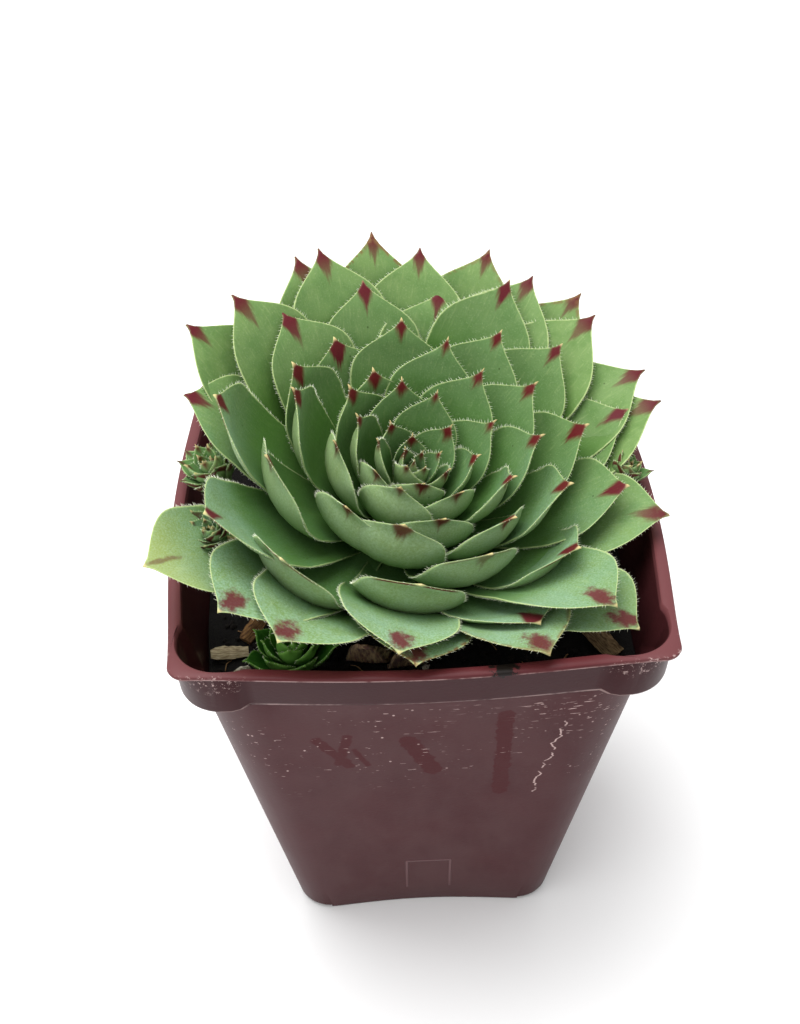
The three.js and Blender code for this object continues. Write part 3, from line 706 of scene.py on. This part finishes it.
class Hen:
    """The mother plant's rule, the same as the CAD's."""

    stalk, slot = "stem", "hen_leaf"
    rows, hair_apart, hair_length = 30, 0.42, 0.62
    first_azimuth = 208.65
    divergence = -137.746
    base = 0.4
    core_margin = 1.4
    count = 92
    # Leaf, tip radius, tip height, base radius, base height, start angle and end angle.
    stations = (
        (0, 1.1, 13.4, 0.6, 3, 88, 96),
        (6, 5.6, 15.6, 2.6, 2.6, 78, 92),
        (16, 14, 19.3, 5.2, 1.2, 58, 88),
        (32, 27, 22.2, 8, -2, 43, 80),
        (44, 37.5, 20.8, 9.2, -4.6, 36, 72),
        (58, 47, 20, 9.8, -7.6, 33, 36),
        (92, 53, 19, 9.4, -14, 32, 36),
    )
    lost = (50, 52, 54, 55, 56, 57, 59, 60, 65, 67, 68, 70, 72, 76, 88, 89)
    sag = {8: 5, 13: 4, 18: -4, 26: 6, 31: -4, 32: -4, 34: 3, 36: -2, 39: 9, 44: -3, 45: -3, 47: 4, 48: -2.2,
           49: 4, 51: 2, 58: -3, 61: 1, 62: -3, 63: 2, 64: 2, 69: -1, 71: -3, 73: 3, 74: 1, 75: 3, 77: -2,
           78: -4, 81: 8, 82: 2.5, 83: -3, 86: -1, 87: 2, 90: 2, 91: -3}
    growth = {6: 0.92, 8: 1.1, 11: 0.93, 13: 0.93, 18: 1.02, 20: 1.06, 21: 0.93, 25: 1.06, 26: 0.95,
              29: 1.06, 32: 0.84, 35: 0.97, 39: 1.14, 40: 0.92, 42: 1.05, 45: 0.91, 47: 1.05, 48: 1.039,
              53: 1.015, 61: 0.843, 62: 1.03, 63: 0.86, 64: 1.04, 66: 1.17, 69: 0.96, 71: 1.12, 73: 0.97,
              74: 1.005, 77: 0.97, 79: 1.15, 80: 0.94, 81: 0.9, 82: 0.996, 84: 1.05, 86: 1.02, 87: 1.1,
              90: 0.98, 91: 0.95}
    turned = {5: -6, 6: 5, 8: -2, 13: 3, 19: -4, 21: 3, 25: 2, 26: 5, 27: -8, 32: -2, 35: -5, 36: 3, 39: -4,
              45: -5, 48: -8.4, 51: -3, 58: -4, 61: -0.6, 62: 5, 63: 2, 64: -4, 71: -4, 73: -3, 74: -3.5,
              77: 4, 79: -4, 81: 2, 82: 2.6, 84: -2, 87: -2, 90: 2, 91: -5}
    withered = {87: 0.9, 90: 0.7, 82: 0.5, 91: 0.9, 83: 0.6}

    def numbers(self, azimuth, leaf):
        middle = smoothstep(leaf, 4, 16)
        last = 44 - 4 * cos(2 * azimuth - radians(370))
        # Degrees by which a middle leaf curls up more, up to STEEPEST in front.
        steeper = 22 + 32 * cos(azimuth - radians(255))
        swing = 0.08 * sin(2 * azimuth + 0.41) - 0.072 * cos(3 * azimuth - 0.9)
        return dict(
            length=self.growth.get(leaf, 1) * (1 + min(leaf / 20, 1) * swing),
            droop=self.sag.get(leaf, 0) - 3.6 * smoothstep(leaf, 40, 70) * sin(azimuth + 0.6),
            upright=middle * (1 - smoothstep(leaf, last - 4, last + 5)) * steeper,
            shoulder=1.6 + 1.5 * middle * max(steeper, 0) / STEEPEST,
            beak=lerp(0.4, 1.6, smoothstep(leaf, 0, 30)),
            widest=lerp(0.45, 0.68, smoothstep(leaf, 10, 46)),
            cup=11 + 13 * smoothstep(leaf, 6, 30) + 4 * smoothstep(leaf, 42, 72),
            half_width=11.2 - 9.2 * exp(-leaf / 18),
            thickness=0.9 + smoothstep(leaf, 0, 30),
            mark=lerp(3.1, 6.6, smoothstep(leaf, 14, 62)) + 0.9 * draw(leaf, 5),
            brown=self.withered.get(leaf, 0),
        )


class Chick:
    """A young rosette's rule, with leaves marked over `mark` millimetres."""

    stalk, slot = "runner", "chick_leaf"
    rows, hair_apart, hair_length = 16, 0.5, 0.42
    first_azimuth = 20
    divergence = 137.5
    base = 0.5
    core_margin = 0.7
    lost, turned = (), {}
    stations = (
        (0, 0.4, 5.6, 0.3, 1.4, 88, 94),
        (7, 3.6, 7, 1.1, 0.8, 62, 84),
        (20, 9.6, 5, 1.8, -1.2, 34, 34),
    )

    def __init__(self, count, mark):
        self.count, self.mark = count, mark

    def numbers(self, azimuth, leaf):
        return dict(
            length=1 + 0.1 * draw(leaf, 3),
            droop=5 * draw(leaf, 4),
            upright=0,
            shoulder=1.3,
            beak=0.3,
            widest=0.55,
            cup=lerp(3.2, 6, smoothstep(leaf, 0, 18)),
            half_width=2.9 - 2 * exp(-leaf / 6),
            thickness=1.05,
            mark=self.mark,
            brown=0,
        )


def heading(angle):
    return np.array([cos(angle), sin(angle)])


class Leaf:
    """One leaf of a plan: a cupped blade along an arched line from the core to its point."""

    def __init__(self, plan, number):
        self.plan, self.number = plan, number
        turn = number * plan.divergence + plan.turned.get(number, 0)
        self.azimuth = radians(plan.first_azimuth + turn)
        vars(self).update(plan.numbers(self.azimuth, number))
        values = [along(plan.stations, number, column) for column in range(1, 7)]
        tip, base, (start, end) = np.reshape(values, (3, 2))
        arm = (tip - base) * self.length
        self.reach = np.linalg.norm(arm)
        self.beak += 2.4 * max(self.upright, 0) / STEEPEST
        droop = radians(self.droop)
        start = radians(start - 0.4 * self.upright) - droop
        end = radians(end + 0.65 * self.upright) - droop
        drooped = np.array([heading(-droop), heading(pi / 2 - droop)]).T @ arm
        point = base + drooped - self.beak * heading(end - pi / 2)
        pull = 0.4 * self.reach
        self.line = base, base + pull * heading(start), point - pull * heading(end), point

    def outline(self, t):
        """Half the leaf's width at t from base (0) to point (1), as a share of its widest."""
        rising = lerp(self.plan.base, 1, np.sin(np.minimum(t / self.widest, 1) * pi / 2))
        s = np.maximum(t - self.widest, 0) / (1 - self.widest)
        falling = lerp(0.5 + 0.5 * np.cos(pi * s**self.shoulder), 1 - s, CUSP)
        return np.where(t < self.widest, rising, falling)

    def place(self, t, across, lift):
        """The point at t from base to tip, across from -1 to 1 and lift in thicknesses."""
        t, across, lift = np.broadcast_arrays(t, across, lift)
        a, b, c, d = self.line
        u, v = (1 - t)[..., None], t[..., None]
        centre = u**3 * a + 3 * u * u * v * b + 3 * u * v * v * c + v**3 * d
        tangent = unit(u * u * (b - a) + 2 * u * v * (c - b) + v * v * (d - c))
        innermost = np.maximum(centre[..., 0], 1) / np.maximum(tangent[..., 1], 0.3)
        cup = np.minimum(self.cup, innermost)
        angle = self.half_width * self.outline(t) * across / cup
        rise = cup * (1 - np.cos(angle)) + lift * self.thickness * fullness(t)
        rise = rise - self.beak * (np.maximum(t - BEAK_FROM, 0) / (1 - BEAK_FROM)) ** 2
        out = centre[..., 0] - tangent[..., 1] * rise
        side = cup * np.sin(angle)
        cosine, sine = cos(self.azimuth), sin(self.azimuth)
        return np.stack([out * cosine - side * sine, out * sine + side * cosine,
                         centre[..., 1] + tangent[..., 0] * rise], -1)


TOP_COLUMNS, UNDER_COLUMNS = 17, 9
UNDER_LIFT, EDGE_LIFT = 0.9, 0.2  # depths below the upper face, in thicknesses
EDGE_OUT = 1.012  # how far across the margin's roundest line lies
LEAF_END = 0.992  # place of the last ring, just before the point
HAIRS_FROM, HAIRS_TO = 0.3, 0.975  # places along a leaf between which its margins are hairy
HAIR_RADIUS = 0.055


def leaf_section():
    """A closed loop round the blade: place across, lift, and 1 on the upper face."""
    top = np.cos(np.linspace(0, pi, TOP_COLUMNS))
    under = -np.cos(np.linspace(0, pi, UNDER_COLUMNS + 2))[1:-1]
    across = np.concatenate([top, [-EDGE_OUT], under, [EDGE_OUT]])
    lift = np.concatenate([
        0.12 * (1 - top**2),
        [-EDGE_LIFT / 2],
        -EDGE_LIFT - (UNDER_LIFT - EDGE_LIFT) * (1 - under**2) ** 0.8,
        [-EDGE_LIFT / 2],
    ])
    face = np.concatenate([np.ones(TOP_COLUMNS), [0.5], np.zeros(UNDER_COLUMNS), [0.5]])
    return across, lift, face


def add_leaf(skin, leaf, pose):
    across, lift, face = leaf_section()
    few = leaf.plan.rows // 3
    t = np.concatenate([np.linspace(0, 0.55, few), np.linspace(0.6, LEAF_END, leaf.plan.rows - few)])[:, None]
    wave = 0.1 * np.sin(9 * t + 2.4 * leaf.number + 1.5 * across) * across**2 * smoothstep(t, 0.3, 0.7)
    wave = wave + 0.04 * np.sin(31 * t + 1.3 * leaf.number + 4 * across) * across**4
    width = leaf.half_width * leaf.outline(t)
    skin.add_rings(
        transformed(pose, leaf.place(t, across, lift + wave)),
        edge=width * (1 - np.minimum(np.abs(across), 1)),
        side=width * across,
        tip=(1 - t) * leaf.reach,
        top=face,
        age=leaf.number / leaf.plan.count,
        number=leaf.number,
        mark=leaf.mark,
        brown=leaf.brown,
    )


def add_hairs(skin, leaf, pose):
    """A fringe of fine pointed hairs along both margins."""
    count = int(leaf.reach * (1 - HAIRS_FROM) / leaf.plan.hair_apart)
    index = np.arange(count)
    seed = index + 200 * leaf.number
    for side in (-1, 1):
        t = lerp(HAIRS_FROM, HAIRS_TO, (index + 0.5 + 0.35 * draw(seed, 6 + side)) / count)
        root = leaf.place(t, side, -EDGE_LIFT / 2)
        ahead = unit(leaf.place(np.minimum(t + 0.01, 0.999), side, 0) - leaf.place(t, side, 0))
        outward = unit(root - leaf.place(t, side * 0.85, 0))
        up = np.cross(ahead, outward) * side
        way = unit(outward + 0.5 * ahead + 0.5 * draw(seed, 9)[:, None] * up)
        size = leaf.plan.hair_length * (1 + 0.4 * draw(index, 12 + leaf.number))
        size = size * lerp(0.6, 1, smoothstep(t, HAIRS_FROM, 0.6))
        aside = unit(np.cross(way, up))
        foot = [root + HAIR_RADIUS * (cos(angle) * aside + sin(angle) * up)
                for angle in np.radians((0, 120, 240))]
        points = transformed(pose, np.stack([*foot, root + way * size[:, None]], 1).reshape(-1, 3))
        skin.add(points, [4 * index[:, None] + face for face in ([0, 1, 3], [1, 2, 3], [2, 0, 3])])


def add_core(skin, plan, pose):
    """The short swollen stem end that the leaves grow from."""
    margin = plan.core_margin
    shell = [(station[3] + margin, station[4] + 0.5) for station in plan.stations]
    low_radius, low = shell[-1]
    profile = [(low_radius * 0.7, low - 2 * margin), *reversed(shell), (0.3, plan.stations[0][4] + margin)]
    rings = np.array([round_ring(0, 0, height, radius, 24) for radius, height in profile])
    skin.add_rings(transformed(pose, rings), edge=9, tip=24, age=0.6)


def make_rosette(name, plan, pose, stalk_rings, materials, node):
    """A rosette as three pieces: its leaves, their hairs, and its stem or runner."""
    leaves, hairs, stem = Skin(*LEAF_VALUES), Skin(), Skin()
    for number in range(plan.count):
        if number not in plan.lost:
            leaf = Leaf(plan, number)
            add_leaf(leaves, leaf, pose)
            add_hairs(hairs, leaf, pose)
    add_core(leaves, plan, pose)
    stem.add_rings(stalk_rings)
    leaves.build(f"{name}_leaves", materials[0], plan.slot, node)
    hairs.build(f"{name}_hairs", materials[1], plan.slot)
    stem.build(f"{name}_{plan.stalk}", materials[2], plan.slot)


HEN_POSE = Matrix.Translation((-1.8, 0.5, POT_HEIGHT)) @ rotation(12, 13.4)
HEN_STEM, HEN_STEM_RADIUS, HEN_STEM_FOOT = (-5.3, 3.7), 3.5, SOIL_TOP - 16
STEM_RADIUS = 1.2
CHICK_STEM_FOOT = SOIL_TOP - 8

# Centre, lean to the front and to the right, turn, size, leaves, mark's length, and the runner's path.
CHICKS = {
    "chick_front": ((-23.4, -30.9, POT_HEIGHT - 10.9), (3, -5), 10, 1.15, 19, 0.4,
                    [(-23.4, -30.9, CHICK_STEM_FOOT), (-23.4, -30.9, POT_HEIGHT - 10.9)]),
    "chick_left": ((-38, 7, POT_HEIGHT + 2), (0, -24), 70, 1, 18, 2.2,
                   [(-32, 5, CHICK_STEM_FOOT), (-32, 5, SOIL_TOP + 1), (-34, 5.6, SOIL_TOP + 8),
                    (-38, 7, POT_HEIGHT + 1.5)]),
    "bud_left": ((-36.5, -18.2, POT_HEIGHT + 8.2), (14, -14), 35, 0.8, 14, 1.8,
                 [(-31, -15, POT_HEIGHT + 3), (-36.5, -18.2, POT_HEIGHT + 8.2)]),
    "bud_right": ((40.5, 2.5, POT_HEIGHT + 2), (0, 26), 120, 0.75, 14, 2.2,
                  [(-2, 2, SOIL_TOP - 1), (22, 1, POT_HEIGHT - 8), (34, 2, POT_HEIGHT - 2),
                   (40.5, 2.5, POT_HEIGHT + 2)]),
}


def make_hen(hair, bark):
    skin = leaf_material(
        "hen_leaf", fresh=rgb(90, 122, 72), old=rgb(106, 134, 76), shaded_green=rgb(62, 102, 34),
        pale=rgb(176, 192, 134), mark=rgb(84, 2, 28))
    rings = [round_ring(*HEN_STEM, z, HEN_STEM_RADIUS) for z in (HEN_STEM_FOOT, SOIL_TOP)]
    make_rosette("hen", Hen(), HEN_POSE, rings, (skin, hair, bark), "hen_rosette")


def make_chicks(hair, bark):
    """The chicks and buds. Only the chicks stand for CAD nodes of their own."""
    green = leaf_material(
        "chick_leaf", fresh=rgb(74, 130, 42), old=rgb(42, 92, 26), shaded_green=rgb(18, 50, 14),
        pale=rgb(120, 164, 80), mark=rgb(60, 44, 28), wax=0)
    bluish = leaf_material(
        "bud_leaf", fresh=rgb(96, 134, 76), old=rgb(86, 122, 66), shaded_green=rgb(50, 86, 36),
        pale=rgb(158, 184, 126), mark=rgb(76, 28, 28))
    for name, (centre, lean, turn, size, count, mark, path) in CHICKS.items():
        pose = Matrix.Translation(centre) @ rotation(*lean) @ rotation(0, 0, turn) @ Matrix.Scale(size, 4)
        rings = tube_rings(smooth_path(path, 8), STEM_RADIUS, 12)
        skin = green if name == "chick_front" else bluish
        node = name if name.startswith("chick") else None
        make_rosette(name, Chick(count, mark), pose, rings, (skin, hair, bark), node)


# ---- Soil ----

PIT_FLOOR, PIT_RADIUS, PIT_SLOPE = -16.8, 11.5, 0.5
PIT_ROUNDS = 8  # steps towards the pit's cone, which leans with the hen
CRUMBS, FIBRES = 1500, 90
CLEAR_MIDDLE = 22  # radius under the hen without litter
SOIL_RINGS, SOIL_EYE = 64, 0.02  # rings of the mix's top, and the last one's share of the first
LITTER_SHARP = 30


def pit_height(x, y):
    """Height of the cone that the hen's underside has pressed in the soil, seen from above."""
    into_hen = HEN_POSE.inverted()
    z = np.full_like(x, SOIL_TOP)
    for _ in range(PIT_ROUNDS):
        local = transformed(into_hen, np.stack([x, y, z], -1))
        out = np.hypot(local[..., 0], local[..., 1])
        cone = PIT_FLOOR + PIT_SLOPE * np.maximum(out - PIT_RADIUS, 0)
        z = z + 0.8 * (cone - local[..., 2])
    return z


def soil_height(x, y):
    lumps = 0.5 * np.sin(x / 3.1 + 1) * np.cos(y / 2.7) + 0.35 * np.sin(x / 1.9 + y / 2.3)
    flat = np.stack([x, y, 0 * x], -1)
    lumps = lumps + 0.4 * ripple(flat, 4.3, 1.0) + 0.25 * ripple(flat, 1.9, 2.0)
    return np.minimum(SOIL_TOP + lumps, pit_height(x, y))


def make_soil():
    t = (SOIL_TOP - FLOOR) / (BAND_FOOT - BAND_STEP - FLOOR)
    edge = body_ring(SOIL_TOP, t, WALL + CLEARANCE)
    rings = [body_ring(FLOOR + CLEARANCE, 0, WALL + CLEARANCE)]
    for share in np.linspace(1, SOIL_EYE, SOIL_RINGS):
        x, y = edge[:, 0] * share, edge[:, 1] * share
        rings.append(np.stack([x, y, soil_height(x, y)], -1))
    skin = Skin()
    skin.add_rings(rings)
    skin.build("potting_mix", soil_material("potting_soil", rgb(12, 9, 8), rgb(52, 38, 28), 0.12),
               "potting_soil", "soil")
    return edge


def add_crumb(skin, centre, size, seed):
    """An irregular ball of four rings of six points."""
    rings = []
    for row, polar in enumerate((0.35, 1.1, 1.9, 2.7)):
        radius = size * sin(polar) * (1 + 0.3 * draw(6 * row + np.arange(6), seed))
        height = -size * 0.75 * cos(polar) * (1 + 0.2 * draw(row, seed + 3))
        rings.append(round_ring(0, 0, height, radius, 6, seed))
    skin.add_rings(np.array(rings) + centre)


def make_litter(edge):
    """Crumbs, pale grit and root fibres that lie on the mix."""
    half = edge[:, 0].max()
    crumbs, grit, fibres = Skin(), Skin(), Skin()
    for index in range(CRUMBS):
        x, y = half * draw(index, 21), half * draw(index, 22)
        if max(abs(x), abs(y)) > half - 3 or hypot(x, y) < CLEAR_MIDDLE:
            continue
        size = 0.35 + 0.45 * abs(draw(index, 23)) ** 2
        centre = np.array([x, y, soil_height(x, y) + 0.3 * size])
        add_crumb(grit if index % 37 == 0 else crumbs, centre, size, index * 0.37)
    for index in range(FIBRES):
        x, y = half * 0.9 * draw(index, 31), half * 0.9 * draw(index, 32)
        if hypot(x, y) < CLEAR_MIDDLE + 2:
            continue
        way, bend = pi * draw(index, 33), 0.5 * draw(index, 34)
        steps = np.linspace(0, 2.5 + 2 * abs(draw(index, 35)), 6)
        px, py = (np.clip(start + steps * turn(way + bend * steps / 3), 2 - half, half - 2)
                  for start, turn in ((x, np.cos), (y, np.sin)))
        pz = soil_height(px, py) + 0.3 + 0.25 * np.sin(steps * 2 + index)
        fibres.add_rings(tube_rings(np.stack([px, py, pz], -1), 0.11 + 0.06 * abs(draw(index, 36)), 5))
    dark = soil_material("soil_crumbs", rgb(20, 15, 12), rgb(70, 50, 36), 0.2)
    pale = soil_material("pale_grit", rgb(150, 140, 122), rgb(205, 200, 186), 0.5)
    crumbs.build("mix_crumbs", dark, "potting_soil", sharp=LITTER_SHARP)
    grit.build("mix_grit", pale, "perlite", sharp=LITTER_SHARP)
    fibres.build("root_fibres", wood_material("root_fibre", rgb(92, 66, 44), rgb(150, 118, 82)), "bark")


# ---- Chips and dry leaves ----

# Length, width and thickness, place on the mix, turn about x, y and z, and seed.
CHIPS = {
    "wood_splinter": ((7, 3, 2), (-35.6, -25.8, 0.7), (10, 4, 8), 11),
    "bark_left": ((7, 4.4, 3), (-31, -19.2, 0.8), (0, -14, 55), 12),
    "bark_right": ((8, 5, 3.4), (33.5, -27, 1.2), (20, 18, -50), 13),
    "perlite_front": ((3.2, 2.8, 2.4), (-33, -31, 0.7), (0, 0, 30), 14),
}
CHIP_ROWS, CHIP_SIDES, CHIP_SHARP = 22, 25, 50


def chip_outline(row_marks, size, seed):
    """The five-sided rings of the CAD's chip, read between its four rings at any place along it."""
    length, width, thickness = size
    known = (-1, -0.45, 0.35, 1)
    corner = np.arange(5)
    angle = 2 * pi * corner / 5 + 0.3
    rings = []
    for row, place in enumerate(known):
        across = (1 + 0.22 * draw(5 * row + corner, seed)) * (1 - 0.35 * place * place) / 2
        shift = 0.1 * length * draw(5 * row + corner, seed + 1) * (1 - abs(place))
        y, z = width * across * np.cos(angle), thickness * across * np.sin(angle)
        rings.append([length / 2 * place + shift, y, z])
    rings = np.array(rings)
    read = [[np.interp(row_marks, known, rings[:, axis, k]) for axis in range(3)] for k in range(5)]
    return np.transpose(read, (2, 0, 1))


def make_chip(name, material, slot):
    size, (x, y, above), turn, seed = CHIPS[name]
    corners = chip_outline(np.linspace(-1, 1, CHIP_ROWS), size, seed)
    share = np.linspace(0, 5, CHIP_SIDES, endpoint=False)
    low = np.floor(share).astype(int)
    rings = lerp(corners[:, low], corners[:, (low + 1) % 5], (share - low)[None, :, None])
    rough = 0.14 * ripple(rings, 1.6, seed) + 0.07 * ripple(rings * (0.3, 1, 1), 0.6, 3.0)
    rings = rings + rough[..., None] * unit(rings * (0, 1, 1))
    pose = Matrix.Translation((x, y, SOIL_TOP + above)) @ rotation(*turn)
    skin = Skin("along", "side")
    skin.add_rings(transformed(pose, rings), along=rings[..., 0], side=rings[..., 1] + rings[..., 2])
    skin.build(f"{name}_chip", material, slot, name, sharp=CHIP_SHARP)


DRY_LENGTH, DRY_HALF_WIDTH, DRY_THICKNESS = 15, 4.2, 0.8
DRY_ROWS, DRY_COLUMNS = 26, 15
DRY_LEAVES = ((-9, -24.5, -100, 46), (-3, -24.8, -84, 40))  # foot's x and y, azimuth and slope


def make_dry_leaves():
    skin = Skin("along", "side")
    across = np.linspace(1, -1, DRY_COLUMNS)
    across = np.concatenate([across, -across])
    face = np.repeat([1, -1], DRY_COLUMNS)
    t = np.linspace(0, 1, DRY_ROWS)[:, None]
    half = DRY_HALF_WIDTH * (0.55 + 0.45 * np.sin(pi * np.minimum(t * 0.75 + 0.1, 1)))
    side = half * across * (1 - 0.75 * t**4)
    for index, (x, y, azimuth, slope) in enumerate(DRY_LEAVES):
        lift = 1.2 * np.sin(2.6 * pi * t + index) + 0.25 * np.sin(5 * across + 7 * t) * across**2
        lift = lift + face * (1 - 0.5 * across**6) * DRY_THICKNESS / 2
        rings = np.stack(np.broadcast_arrays(DRY_LENGTH * t, side, lift), -1)
        pose = Matrix.Translation((x, y, SOIL_TOP - 2.5)) @ rotation(0, -slope, azimuth)
        skin.add_rings(transformed(pose, rings), along=rings[..., 0], side=side)
    skin.build("dry_blades", dry_material(), "dry_leaf", "dry_leaves")


# ---- Stage ----

TARGET = Vector((-1.83, 35.353, 60))
PITCH, YAW, ROLL = (radians(angle) for angle in (39.632, -1.416, -1.368))
DISTANCE = 328.718
FOCAL_PIXELS, IMAGE_HEIGHT, SENSOR = 1450, 1024, 36
FLOOR_GREY, FLOOR_SIZE = (0.86, 0.86, 0.86), 6
SKY_STRENGTH = 0.85
LIGHTS = (("key", (-0.16, 0.12, 0.85), 9), ("fill", (-0.5, -0.5, 0.5), 2))  # place in metres, and power
LIGHT_SIZE = 0.7


def make_camera():
    camera = bpy.data.cameras.new("camera")
    camera.sensor_width = SENSOR
    camera.lens = FOCAL_PIXELS * SENSOR / IMAGE_HEIGHT
    camera.clip_start = 0.01
    holder = put("camera", camera)
    bpy.context.scene.camera = holder
    back = Vector((sin(YAW) * cos(PITCH), -cos(YAW) * cos(PITCH), sin(PITCH)))
    right = Vector((cos(YAW), sin(YAW), 0))
    up = back.cross(right)
    aim = Matrix((right, up, back)).transposed() @ Matrix.Rotation(ROLL, 3, "Z")
    holder.matrix_world = Matrix.Translation((TARGET + back * DISTANCE) * MM) @ aim.to_4x4()


def make_stage():
    shader = Shader("floor", Roughness=0.8, Specular_IOR_Level=0.1)
    shader.paint(FLOOR_GREY)
    bpy.ops.mesh.primitive_plane_add(size=FLOOR_SIZE)
    floor = bpy.context.object
    floor.name = "floor"
    floor.data.materials.append(shader.finish())
    world = bpy.data.worlds.new("studio")
    world.use_nodes = True
    background = world.node_tree.nodes["Background"]
    background.inputs["Color"].default_value = (1, 1, 1, 1)
    background.inputs["Strength"].default_value = SKY_STRENGTH
    bpy.context.scene.world = world
    for name, place, power in LIGHTS:
        light = bpy.data.lights.new(name, "AREA")
        light.energy, light.size = power, LIGHT_SIZE
        holder = put(name, light)
        holder.location = place
        aim = Vector((0, 0, POT_HEIGHT * MM)) - Vector(place)
        holder.rotation_euler = aim.to_track_quat("-Z", "Y").to_euler()
    bpy.context.scene.view_settings.view_transform = "Standard"


# ---- Assembly ----


def main():
    make_pot()
    hair, bark = hair_material(), stem_material()
    make_hen(hair, bark)
    make_chicks(hair, bark)
    edge = make_soil()
    make_litter(edge)
    wood = wood_material("wood_chip", rgb(130, 112, 86), rgb(196, 180, 148))
    make_chip("wood_splinter", wood, "wood_chip")
    make_chip("bark_left", wood_material("bark_brown", rgb(64, 42, 28), rgb(140, 104, 64)), "bark")
    make_chip("bark_right", wood_material("bark_tan", rgb(84, 66, 44), rgb(150, 126, 92)), "bark")
    perlite = soil_material("perlite", rgb(150, 140, 120), rgb(206, 200, 184), 0.6)
    make_chip("perlite_front", perlite, "perlite")
    make_dry_leaves()
    make_camera()
    make_stage()


main()
